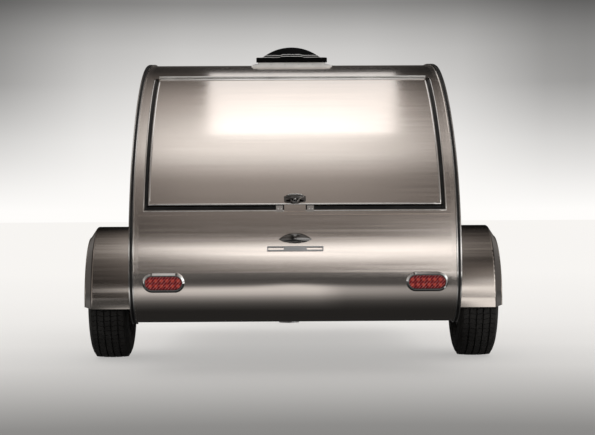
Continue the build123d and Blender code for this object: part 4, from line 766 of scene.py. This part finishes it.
def tail_details():
    """The small parts of the hatch's handle and of the clips below it."""
    low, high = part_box("gasket_clips")
    rays = [((x, low.y - PROBE, (low.z + high.z) / 2), AHEAD) for x in CLIP_RIVETS_X]
    heads("clip_rivets", "gasket_clips", rays, 0.0034, 0.0018, "chrome", "chassis")
    low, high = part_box("hatch_handle")
    spot, normal = hit("hatch_handle", (0.0, low.y - PROBE, (low.z + high.z) / 2 - LOCK_DROP), AHEAD)
    piece("lock_core", lathe(LOCK_CORE, 20, spot - LOCK_SINK * normal, normal), "chrome", "hatch", crisp=30.0)
    turn = ACROSS.rotation_difference(normal).to_matrix()
    # The key slot is a thin raised black block: painted shade for the slot's hollow
    a, b, rise = KEY_SLOT
    corners = []
    for level in (0.0, rise):
        corners += [spot + turn @ Vector((level, y, z)) for y, z in ((-a, -b), (a, -b), (a, b), (-a, b))]
    faces = [(4, 5, 6, 7)] + [(k, (k + 1) % 4, 4 + (k + 1) % 4, 4 + k) for k in range(4)]
    piece("key_slot_shade_block", (corners, faces), "black_rubber", "hatch", smooth=False)
    # A satin bead along the handle's top: a painted highlight
    level = Vector((0, low.y + HANDLE_EDGE_IN, high.z + PROBE))
    starts = row(level - HANDLE_EDGE_X * ACROSS, level + HANDLE_EDGE_X * ACROSS, HANDLE_EDGE_STEPS)
    path = facing([hit("hatch_handle", start, -UP)[0] for start in starts], UP)
    piece("handle_highlight_bead", bead(path, HANDLE_EDGE_RADIUS, closed=False), "chrome", "hatch", satin)


# Roof vent

FLANGE_CORNER = 0.026
FLANGE_SCREW_INSET = 0.012
FLANGE_SCREW_PITCH = 0.068
SEALANT_RADIUS = 0.0065
SEALANT_LUMPS = 0.5
SEALANT_PITCH = 0.006
# How far below the lid's top the roof is sought, and how far out of it the sealant's middle lies
SEALANT_DROP = 0.08
SEALANT_LIFT = 0.001
# Pale rings round the dome as painted highlights: (height above the lid, radius of the wire),
# and where the lid's deck is met beside them
DOME_HIGHLIGHT_RINGS = ((0.0022, 0.0018), (0.0118, 0.0015))
RING_STEPS = 96
RING_SINK = 0.0006
DECK_REACH = 0.165


def vent_details():
    """A lumpy bead of sealant and screws round the flange, and pale rings round the dome as painted highlights."""
    low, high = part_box("vent_base")
    turned = [face for face in NODES["vent_base"].data.polygons if face.normal.dot(UP) > 0.95]
    normal = max(turned, key=lambda face: face.area).normal.copy()
    ahead = normal.cross(ACROSS)
    middle = hit("vent_lid", ((low.x + high.x) / 2, (low.y + high.y) / 2, high.z + PROBE), -UP)[0]
    length = high.x - low.x
    path = []
    for a, b in loop(length, length, FLANGE_CORNER, SEALANT_PITCH):
        spot, up = nearest("roof_shell", middle + a * ACROSS + b * ahead - SEALANT_DROP * normal)
        path.append((spot + SEALANT_LIFT * up, up))
    shape = bead(path, SEALANT_RADIUS, sides=10, lumps=SEALANT_LUMPS, flat=0.75)
    piece("vent_sealant", shape, "white_plastic", "chassis")
    inset = length - 2 * FLANGE_SCREW_INSET
    path = loop(inset, inset, FLANGE_CORNER / 2, FLANGE_SCREW_PITCH)
    rays = [(middle + a * ACROSS + b * ahead + PROBE * normal, -normal) for a, b in path]
    heads("vent_screws", "vent_base", rays, 0.0042, 0.002, "steel_zinc", "chassis")
    rings = []
    for rise, wire in DOME_HIGHLIGHT_RINGS:
        path = []
        for k in range(RING_STEPS):
            angle = 2 * math.pi * k / RING_STEPS
            reach = math.cos(angle) * ACROSS + math.sin(angle) * ahead
            deck = hit("vent_lid", middle + DECK_REACH * reach + PROBE * normal, -normal)[0]
            spot, _ = hit("vent_lid", deck + PROBE * reach + rise * normal, -reach)
            path.append((spot - RING_SINK * reach, normal))
        rings.append(bead(path, wire))
    piece("vent_dome_highlight_rings", merged(rings), "white_plastic", "vent_cover")


# Doors and side lamps

WALL_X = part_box("side_walls")[1].x
DOOR_CORNER = 0.082
DOOR_GAP = 0.008
DOOR_SEAL_RADIUS = 0.0036
DOOR_SEAL_SLACK = 0.0002
DOOR_SEAL_SINK = 0.008
GLASS_CORNER = 0.07
GLASS_SEAL_RADIUS = 0.0045
GLASS_SEAL_GROW = 0.001
GLASS_SEAL_SINK = 0.003
WINDOW_SCREW_GROW = 0.0115
FRAME_SCREW_PITCH = 0.135
FRAME_MIDDLE = 0.014
MARKER_CORNER = 0.008
MARKER_SEAL_RADIUS = 0.003
MARKER_SEAL_GROW = 0.0006
MARKER_SEAL_LIFT = 0.0012
MARKER_SEAL_PITCH = 0.008


def side_path(x, up, name, corner, grow, pitch=0.012):
    """Places round a CAD node, in a side wall's plane, each with that direction."""
    low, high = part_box(name)
    middle = (low + high) / 2
    length, width = high.y - low.y + 2 * grow, high.z - low.z + 2 * grow
    path = loop(length, width, corner + grow, pitch)
    return [(Vector((x, middle.y + a, middle.z + b)), up) for a, b in path]


def door_details(side, sign):
    """Rubber seals round the door and its glass, screws in the window's frame, and rivets in the door's frame."""
    body, window, glass_pane, panel = (f"door_{part}{side}" for part in ("", "window_", "glass_", "panel_"))
    out = sign * ACROSS
    low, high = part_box(window)
    face = sign * max(abs(low.x), abs(high.x))
    path = side_path(face - sign * GLASS_SEAL_SINK, out, glass_pane, GLASS_CORNER, GLASS_SEAL_GROW)
    piece(f"window_seal_{side}", bead(path, GLASS_SEAL_RADIUS), "black_rubber", body)
    start = face + sign * PROBE
    rays = side_path(start, -out, glass_pane, GLASS_CORNER, WINDOW_SCREW_GROW, FRAME_SCREW_PITCH)
    heads(f"window_screws_{side}", window, rays, 0.0032, 0.0016, "steel_zinc", body)
    path = side_path(sign * (WALL_X - DOOR_SEAL_SINK), out, panel, DOOR_CORNER, DOOR_GAP - DOOR_SEAL_RADIUS)
    piece(f"door_seal_{side}", bead(path, DOOR_SEAL_RADIUS - DOOR_SEAL_SLACK), "black_rubber", "chassis")
    rays = side_path(start, -out, panel, DOOR_CORNER, DOOR_GAP + FRAME_MIDDLE, FRAME_SCREW_PITCH)
    heads(f"frame_rivets_{side}", "door_frames", rays, 0.0038, 0.0018, "bright_trim", "chassis")


def marker_seals():
    """Thin rubber seals under the side marker lamps."""
    parts = []
    for name in ("marker_lamps_front", "marker_lamps_rear"):
        for sign in (-1, 1):
            x = sign * (WALL_X + MARKER_SEAL_LIFT)
            path = side_path(x, sign * ACROSS, name, MARKER_CORNER, MARKER_SEAL_GROW, MARKER_SEAL_PITCH)
            parts.append(bead(path, MARKER_SEAL_RADIUS))
    piece("marker_seals", merged(parts), "black_rubber", "chassis")


# Wheels

VALVE = [(0.0, 0.0), (0.0, 0.0052), (0.012, 0.0046), (0.016, 0.0034), (0.03, 0.0032), (0.031, 0.0042)]
VALVE += [(0.04, 0.004), (0.041, 0.0)]
VALVE_REACH = 0.150
VALVE_ANGLE = math.radians(36)
VALVE_LEAN = 0.35
VALVE_SINK = 0.004


def valve_stem(side, sign):
    """A rubber valve with its cap, in the rim's face."""
    low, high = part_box(f"rim_{side}")
    outwards = Vector((0, math.sin(VALVE_ANGLE), math.cos(VALVE_ANGLE)))
    middle = (low + high) / 2
    start = middle + VALVE_REACH * outwards + sign * (high.x - middle.x + PROBE) * ACROSS
    spot, _ = hit(f"rim_{side}", start, -sign * ACROSS)
    lean = (sign * ACROSS - VALVE_LEAN * outwards).normalized()
    shape = lathe(VALVE, 14, spot - VALVE_SINK * lean, lean)
    piece(f"valve_stem_{side}", shape, "black_rubber", f"wheel_{side}", crisp=40.0)


# Chassis: weld beads and bolts

WELD_RADIUS = 0.0042
WELD_LUMPS = 0.6
WELD_STEPS = 8
AXLE_BOLTS_X = (-0.022, 0.022)
AXLE_BOLTS_Y = (-0.047, 0.047)
JACK_BOLTS = (30, 150, 270)
JACK_BOLT_CIRCLE = 0.049
# Above the jack's collar and below its crank
JACK_BOLT_START = 0.47
COUPLER_BOLT_SHARES = (0.2, 0.42)
COUPLER_BOLT_RISE = 0.022


def bolts(name, part, rays, radius, height):
    """Zinc-plated hexagon heads."""
    heads(name, part, rays, radius, height, "steel_zinc", "chassis", segments=6, rings=HEX_RINGS)


def chassis_details():
    """Weld beads where the cross tubes meet the rails, and bolts under the axle's brackets and round the jack."""
    low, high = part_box("frame_rails")
    levels = sorted({round(vertex.co.y, 4) for vertex in NODES["frame_crossmembers"].data.vertices})
    rail_faces = sorted({round(abs(vertex.co.x), 4) for vertex in NODES["frame_rails"].data.vertices})
    beads = []
    for sign in (-1, 1):
        x = sign * rail_faces[0]
        for y in levels:
            path = facing(row(Vector((x, y, low.z)), Vector((x, y, high.z)), WELD_STEPS), -sign * ACROSS)
            beads.append(bead(path, WELD_RADIUS, closed=False, lumps=WELD_LUMPS))
    piece("frame_welds", merged(beads), "steel_black", "chassis")
    low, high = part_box("axle_beam")
    rail, y = (rail_faces[0] + rail_faces[-1]) / 2, (low.y + high.y) / 2
    places = [(x + a, y + b) for x in (-rail, rail) for a in AXLE_BOLTS_X for b in AXLE_BOLTS_Y]
    bolts("axle_bolts", "axle_beam", [((*place, low.z - PROBE), UP) for place in places], 0.0095, 0.007)
    low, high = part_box("jack_leg")
    rays = []
    for angle in (math.radians(degrees) for degrees in JACK_BOLTS):
        reach = JACK_BOLT_CIRCLE * Vector((math.cos(angle), math.sin(angle)))
        rays.append(((*((low + high).xy / 2 + reach), JACK_BOLT_START), -UP))
    bolts("jack_bolts", "jack_tube", rays, 0.0085, 0.006)
    low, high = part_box("coupler")
    rays = []
    for sign in (-1, 1):
        for share in COUPLER_BOLT_SHARES:
            start = (sign * (high.x + PROBE), low.y + share * (high.y - low.y), low.z + COUPLER_BOLT_RISE)
            rays.append((start, -sign * ACROSS))
    bolts("coupler_bolts", "coupler", rays, 0.0095, 0.007)


# Galley

KNOB = [(0.0, 0.0), (0.0, 0.006), (0.012, 0.005), (0.016, 0.011), (0.021, 0.013), (0.026, 0.0105), (0.028, 0.0)]
KNOB_RISE = 0.058
CABINET_DOORS = 3
COUNTER_STEPS = 40
COUNTER_EDGE_IN = 0.001
COUNTER_EDGE_DROP = 0.011
COUNTER_EDGE_RADIUS = 0.0105


def galley_details():
    """Knobs on the cabinet's doors, and a bright edge along the counter."""
    low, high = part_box("galley_cabinet")
    parts = []
    for i in range(CABINET_DOORS):
        x = low.x + (high.x - low.x) * (i + 0.5) / CABINET_DOORS
        spot, _ = hit("galley_cabinet", (x, low.y - PROBE, low.z + KNOB_RISE), AHEAD)
        parts.append(lathe(KNOB, 20, spot, -AHEAD))
    piece("cabinet_knobs", merged(parts), "chrome", "chassis", crisp=50.0)
    low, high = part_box("galley_counter")
    ends = [Vector((x, low.y + COUNTER_EDGE_IN, high.z - COUNTER_EDGE_DROP)) for x in (low.x, high.x)]
    path = facing(row(*ends, COUNTER_STEPS), -AHEAD)
    shape = bead(path, COUNTER_EDGE_RADIUS, sides=12, closed=False, flat=0.45)
    piece("counter_edge", shape, "bright_trim", "chassis", crisp=50.0)


# Mattress

MATTRESS_VOXEL = 0.021
MATTRESS_INSET = 0.011
MATTRESS_PRESSURE = 4.0
MATTRESS_STIFFNESS = 12.0
MATTRESS_SWELL = 0.011
MATTRESS_CLEAR = 0.001
SETTLE_FRAMES = 20
# What lies this close to the underside is held in the simulation, and so is what a button sinks by this share
HELD_RISE = 0.004
HELD_SINK = 0.35
TUFTS_ACROSS = 3
TUFTS_ALONG = 5
TUFT_SINK = 0.017
TUFT_REACH = 0.03
PIPING_RADIUS = 0.0036
PIPING_INSET = 0.014
PIPING_CORNER = 0.06
PIPING_START = 0.05
BUTTON_RADIUS = 0.012
BUTTON_HEIGHT = 0.006


def tuft_spots(low, high):
    """Where the mattress is tied down, in rows over its top."""
    spots = []
    for i in range(TUFTS_ACROSS):
        for j in range(TUFTS_ALONG):
            x = low.x + (high.x - low.x) * (i + 0.5) / TUFTS_ACROSS
            y = low.y + (high.y - low.y) * (j + 0.5) / TUFTS_ALONG
            spots.append(Vector((x, y, high.z)))
    return spots


def apply_all(made):
    """Applies an object's modifiers to its mesh."""
    depsgraph = bpy.context.evaluated_depsgraph_get()
    mesh = bpy.data.meshes.new_from_object(made.evaluated_get(depsgraph), depsgraph=depsgraph)
    made.modifiers.clear()
    made.data = mesh


def mattress_form(low, high):
    """The mattress before it swells: a little smaller than its solid, in even small faces."""
    made = bpy.data.objects.new("mattress_pad", NODES["mattress"].data.copy())
    bpy.context.collection.objects.link(made)
    middle, half = (low + high) / 2, (high - low) / 2
    scale = Vector((part - MATTRESS_INSET) / part for part in half)
    for vertex in made.data.vertices:
        for k in range(3):
            vertex.co[k] = middle[k] + (vertex.co[k] - middle[k]) * scale[k]
    remesh = made.modifiers.new("skin", "REMESH")
    remesh.mode = "VOXEL"
    remesh.voxel_size = MATTRESS_VOXEL
    apply_all(made)
    return made


def tie_down(made, spots, low, high):
    """Sinks the buttons' places, and holds them and the underside in the simulation."""
    held = made.vertex_groups.new(name="held")
    for vertex in made.data.vertices:
        sink = 0.0
        if vertex.co.z > (low.z + high.z) / 2:
            away = min((vertex.co.xy - spot.xy).length for spot in spots)
            sink = TUFT_SINK * max(0.0, 1 - away / TUFT_REACH)
        vertex.co.z -= sink
        if sink > HELD_SINK * TUFT_SINK or vertex.co.z < low.z + MATTRESS_INSET + HELD_RISE:
            held.add([vertex.index], 1.0, "REPLACE")


def swell(made):
    """Blows the mattress up as cloth with air in it."""
    cloth = made.modifiers.new("padding", "CLOTH")
    cloth.settings.quality = 5
    cloth.settings.use_pressure = True
    cloth.settings.uniform_pressure_force = MATTRESS_PRESSURE
    cloth.settings.effector_weights.gravity = 0.0
    cloth.settings.vertex_group_mass = "held"
    cloth.settings.tension_stiffness = MATTRESS_STIFFNESS
    cloth.settings.compression_stiffness = MATTRESS_STIFFNESS
    for number in range(1, SETTLE_FRAMES + 1):
        bpy.context.scene.frame_set(number)
    apply_all(made)
    bpy.context.scene.frame_set(1)


def mattress():
    """A padded mattress, swollen by a cloth simulation between its tied buttons, with piped edges."""
    low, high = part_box("mattress")
    spots = tuft_spots(low, high)
    made = mattress_form(low, high)
    tie_down(made, spots, low, high)
    starts = [vertex.co.copy() for vertex in made.data.vertices]
    swell(made)
    for vertex, start in zip(made.data.vertices, starts):
        moved = vertex.co - start
        if moved.length > MATTRESS_SWELL:
            vertex.co = start + moved * (MATTRESS_SWELL / moved.length)
        for k in range(3):
            vertex.co[k] = min(max(vertex.co[k], low[k] + MATTRESS_CLEAR), high[k] - MATTRESS_CLEAR)
    soften = made.modifiers.new("finer", "SUBSURF")
    soften.levels = soften.render_levels = 1
    apply_all(made)
    made.data.materials.clear()
    made.data.materials.append(FINISHES["mattress_fabric"])
    for polygon in made.data.polygons:
        polygon.use_smooth = True
    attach(made, "chassis")
    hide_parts("mattress")
    middle, size = (low + high) / 2, high - low
    parts = []
    for z in (low.z + PIPING_INSET, high.z - PIPING_INSET):
        path = []
        for a, b in loop(size.y, size.x, PIPING_CORNER):
            out = Vector((b, a, 0.0)).normalized()
            start = Vector((middle.x + b, middle.y + a, z)) + PIPING_START * out
            _, spot, normal, _ = made.closest_point_on_mesh(start)
            path.append((Vector((spot.x, spot.y, z)), Vector((normal.x, normal.y, 0.0)).normalized()))
        parts.append(bead(path, PIPING_RADIUS))
    piece("mattress_piping", merged(parts), "mattress_fabric", "chassis", piping_cloth)
    places = [made.closest_point_on_mesh(spot - TUFT_SINK * UP)[1] for spot in spots]
    shape = dome_heads(facing(places, UP), BUTTON_RADIUS, BUTTON_HEIGHT, segments=16)
    piece("mattress_buttons", shape, "mattress_fabric", "chassis", piping_cloth, crisp=40.0)


for side, sign in (("left", -1), ("right", 1)):
    road_tyre(side)
    door_details(side, sign)
    valve_stem(side, sign)
hatch_hinge()
hatch_edges()
vent_details()
tail_details()
marker_seals()
chassis_details()
galley_details()
mattress()


# Studio


def world():
    """One even light for matt surfaces, a studio with bright and dark bands for gloss, and a pale backdrop."""
    made = bpy.data.worlds.new("studio")
    bpy.context.scene.world = made
    made.use_nodes = True
    tree = made.node_tree
    tree.nodes.clear()
    x, y, z = parts_of(tree, node(tree, "ShaderNodeTexCoord").outputs["Generated"])
    height = product(tree, maths(tree, "ARCSINE", z), 180.0 / math.pi)
    forward = fraction(tree, y, *AHEAD_FROM)
    glossy = mixed(tree, forward, curve(tree, height, STUDIO_BEHIND), curve(tree, height, STUDIO_AHEAD))
    aside = maths(tree, "ABSOLUTE", x)
    glossy = product(tree, glossy, curve(tree, aside, STUDIO_FADE))
    glossy = mixed(tree, fraction(tree, aside, *ASIDE_FROM), glossy, curve(tree, height, STUDIO_ASIDE))
    away = maths(tree, "ABSOLUTE", maths(tree, "SUBTRACT", x, BAND_MIDDLE))
    low_edge = curve(tree, maths(tree, "SUBTRACT", height, curve(tree, away, BAND_BOW)), BAND_LOW)
    high_edge = curve(tree, maths(tree, "SUBTRACT", height, curve(tree, x, BAND_RISE)), BAND_HIGH)
    oval = product(tree, low_edge, high_edge, curve(tree, x, BAND_FADE))
    right = product(tree, curve(tree, height, RIGHT_GLOW), fraction(tree, x, *RIGHT_GLOW_START))
    rear_light = product(tree, maths(tree, "MAXIMUM", oval, right), maths(tree, "SUBTRACT", 1.0, forward))
    glossy = maths(tree, "ADD", glossy, rear_light)
    rise = spread(tree, height, *EDGE_SHARES, *EDGE_HEIGHTS)
    vignette = maths(tree, "SUBTRACT", 1.0, product(tree, curve(tree, aside, BACKDROP_EDGE), rise))
    backdrop = product(tree, curve(tree, height, BACKDROP), vignette)
    path = node(tree, "ShaderNodeLightPath").outputs
    strength = mixed(tree, path["Is Glossy Ray"], AMBIENT, glossy)
    seen = maths(tree, "MAXIMUM", path["Is Camera Ray"], path["Is Transmission Ray"])
    strength = mixed(tree, seen, strength, backdrop)
    dark = product(tree, path["Is Glossy Ray"], fraction(tree, glossy, *DUSK_BELOW))
    tint = blend_colours(tree, dark, rgba(WARM), rgba(DUSK))
    shader = node(tree, "ShaderNodeBackground", {"Color": tint, "Strength": strength})
    node(tree, "ShaderNodeOutputWorld", {"Surface": shader.outputs[0]})


FLOOR_SIZE = 600.0
FLOOR_AHEAD = 0.4
# Floor as the camera sees it, with painted shade: brightness by the distance from a darker place behind the tail
SHADE_POOL_AT = -5.2
SHADE_POOL_SQUASH = 0.55
FLOOR_PAINTED_SHADE = [(0, 0.24), (1.0, 0.25), (1.54, 0.28), (2.45, 0.47), (3.7, 0.72), (5.0, 0.84), (7.0, 0.89)]
FLOOR_PAINTED_SHADE += [(10, 0.93), (16, 0.97)]
# The shares of that which the floor reflects of the light and which it gives off itself, a painted glow
MATT_SHARE = 0.53
GLOW_SHARE = 0.58
# Floor as metal sees it, a painted reflection given off to glossy rays alone: behind the tail by y, and the bright
# patch there by y less the bow of its far edge, by y at its near edge, and from left to right
FLOOR_SHINE = [(-40, 0.32), (-14, 0.22), (-8, 0.13), (-4.5, 0.1), (-3.4, 0.06), (-2.6, 0.1), (-2.3, 0.1)]
FLOOR_SHINE += [(-2.1, 0.02)]
PATCH_BOW = [(0.0, 0.0), (0.1, 0.08), (0.2, 0.15), (0.35, 0.18), (0.65, 0.2)]
PATCH_FAR = [(-2.92, 0.0), (-2.7, 0.62)]
PATCH_NEAR = [(-2.46, 1.0), (-2.33, 0.8), (-2.22, 0.4), (-2.1, 0.15), (-2.0, 0.05), (-1.9, 0.0)]
PATCH_SIDE = [(-0.8, 0.9), (0.12, 1.0), (0.25, 0.5), (0.6, 0.42)]
# (x from which it sets in, x at which it is full, brightness) of the painted reflection behind the fenders
FENDER_SHINES = ((-1.0, -1.15, 0.08), (1.0, 1.15, 1.25))
# Painted reflection beside the trailer and ahead of it: brightness by distance from its middle. It sets in between
# these distances from the middle line, behind the tail and ahead of it, and between these y.
SIDE_SHINE = [(0.8, 0.05), (1.6, 0.12), (2.4, 0.26), (3.4, 0.58), (5.0, 0.75), (8.0, 0.5), (16.0, 0.36)]
SIDE_FROM = (1.9, 2.8)
SIDE_FROM_AHEAD = (0.8, 0.95)
SIDE_FROM_Y = (-1.7, -1.3)


def distance(tree, *legs):
    """The length of the vector with those parts."""
    return maths(tree, "SQRT", maths(tree, "ADD", *(product(tree, leg, leg) for leg in legs)))


def floor():
    """A pale floor that keeps the trailer's shadow, with painted shade about a darker place behind the tail, a
    painted glow for the camera and a painted reflection for metal.
    """
    bpy.ops.mesh.primitive_plane_add(size=FLOOR_SIZE, location=(0.0, FLOOR_SIZE * FLOOR_AHEAD, 0.0))
    made = bpy.context.object
    made.name = "studio_floor"
    material, tree = tree_of("studio_floor")
    x, y, _ = parts_of(tree, node(tree, "ShaderNodeNewGeometry").outputs["Position"])
    shade_pool = distance(tree, product(tree, x, SHADE_POOL_SQUASH), maths(tree, "SUBTRACT", y, SHADE_POOL_AT))
    seen = curve(tree, shade_pool, FLOOR_PAINTED_SHADE)
    tint = blend_colours(tree, 1.0, rgba(WARM, MATT_SHARE), seen, blend_type="MULTIPLY")
    matt = node(tree, "ShaderNodeBsdfDiffuse", {"Color": tint}).outputs[0]
    path = node(tree, "ShaderNodeLightPath").outputs
    aside = maths(tree, "ABSOLUTE", x)
    far = curve(tree, maths(tree, "SUBTRACT", y, curve(tree, aside, PATCH_BOW)), PATCH_FAR)
    patch = product(tree, far, curve(tree, y, PATCH_NEAR), curve(tree, x, PATCH_SIDE))
    shine = maths(tree, "ADD", curve(tree, y, FLOOR_SHINE), patch)
    for start, end, value in FENDER_SHINES:
        shine = mixed(tree, fraction(tree, x, start, end), shine, value)
    ahead = product(tree, fraction(tree, y, *SIDE_FROM_Y), fraction(tree, aside, *SIDE_FROM_AHEAD))
    wide = maths(tree, "MAXIMUM", fraction(tree, aside, *SIDE_FROM), ahead)
    shine = mixed(tree, wide, shine, curve(tree, distance(tree, x, y), SIDE_SHINE))
    # The floor's own glow, which the camera alone sees, is painted light
    strength = product(tree, seen, GLOW_SHARE, path["Is Camera Ray"])
    glow = node(tree, "ShaderNodeEmission", {"Color": rgba(WARM), "Strength": strength}).outputs[0]
    lit = node(tree, "ShaderNodeAddShader", {0: matt, 1: glow}).outputs[0]
    # What metal sees of the floor is a painted reflection, a glow for glossy rays alone
    painted_reflection = node(tree, "ShaderNodeEmission", {"Color": rgba(WARM), "Strength": shine}).outputs[0]
    both = node(tree, "ShaderNodeMixShader", {0: path["Is Glossy Ray"], 1: lit, 2: painted_reflection}).outputs[0]
    node(tree, "ShaderNodeOutputMaterial", {"Surface": both})
    made.data.materials.append(material)


def softbox():
    """The lamp over the hatch."""
    lamp = bpy.data.lights.new("softbox", "AREA")
    lamp.shape = "RECTANGLE"
    lamp.size, lamp.size_y = SOFTBOX_WIDTH, SOFTBOX_LENGTH
    lamp.energy = SOFTBOX_RADIANCE * math.pi * SOFTBOX_WIDTH * SOFTBOX_LENGTH
    made = bpy.data.objects.new("softbox", lamp)
    bpy.context.collection.objects.link(made)
    made.location = SOFTBOX_AT
    made.rotation_euler = (SOFTBOX_AIM - SOFTBOX_AT).to_track_quat("-Z", "Y").to_euler()
    made.visible_camera = False


def camera():
    """The photograph's camera."""
    data = bpy.data.cameras.new("camera")
    data.lens = LENS
    data.sensor_width = SENSOR_WIDTH
    data.shift_x = SHIFT_X
    data.clip_end = CLIP_END
    made = bpy.data.objects.new("camera", data)
    bpy.context.collection.objects.link(made)
    made.location = CAMERA_AT
    level = Matrix.Rotation(CAMERA_TURN, 4, "Z") @ Matrix.Rotation(math.pi / 2, 4, "X")
    made.rotation_euler = (level @ Matrix.Rotation(CAMERA_ROLL, 4, "Z")).to_euler()
    bpy.context.scene.camera = made


world()
floor()
softbox()
camera()
bpy.context.scene.view_settings.view_transform = "Standard"
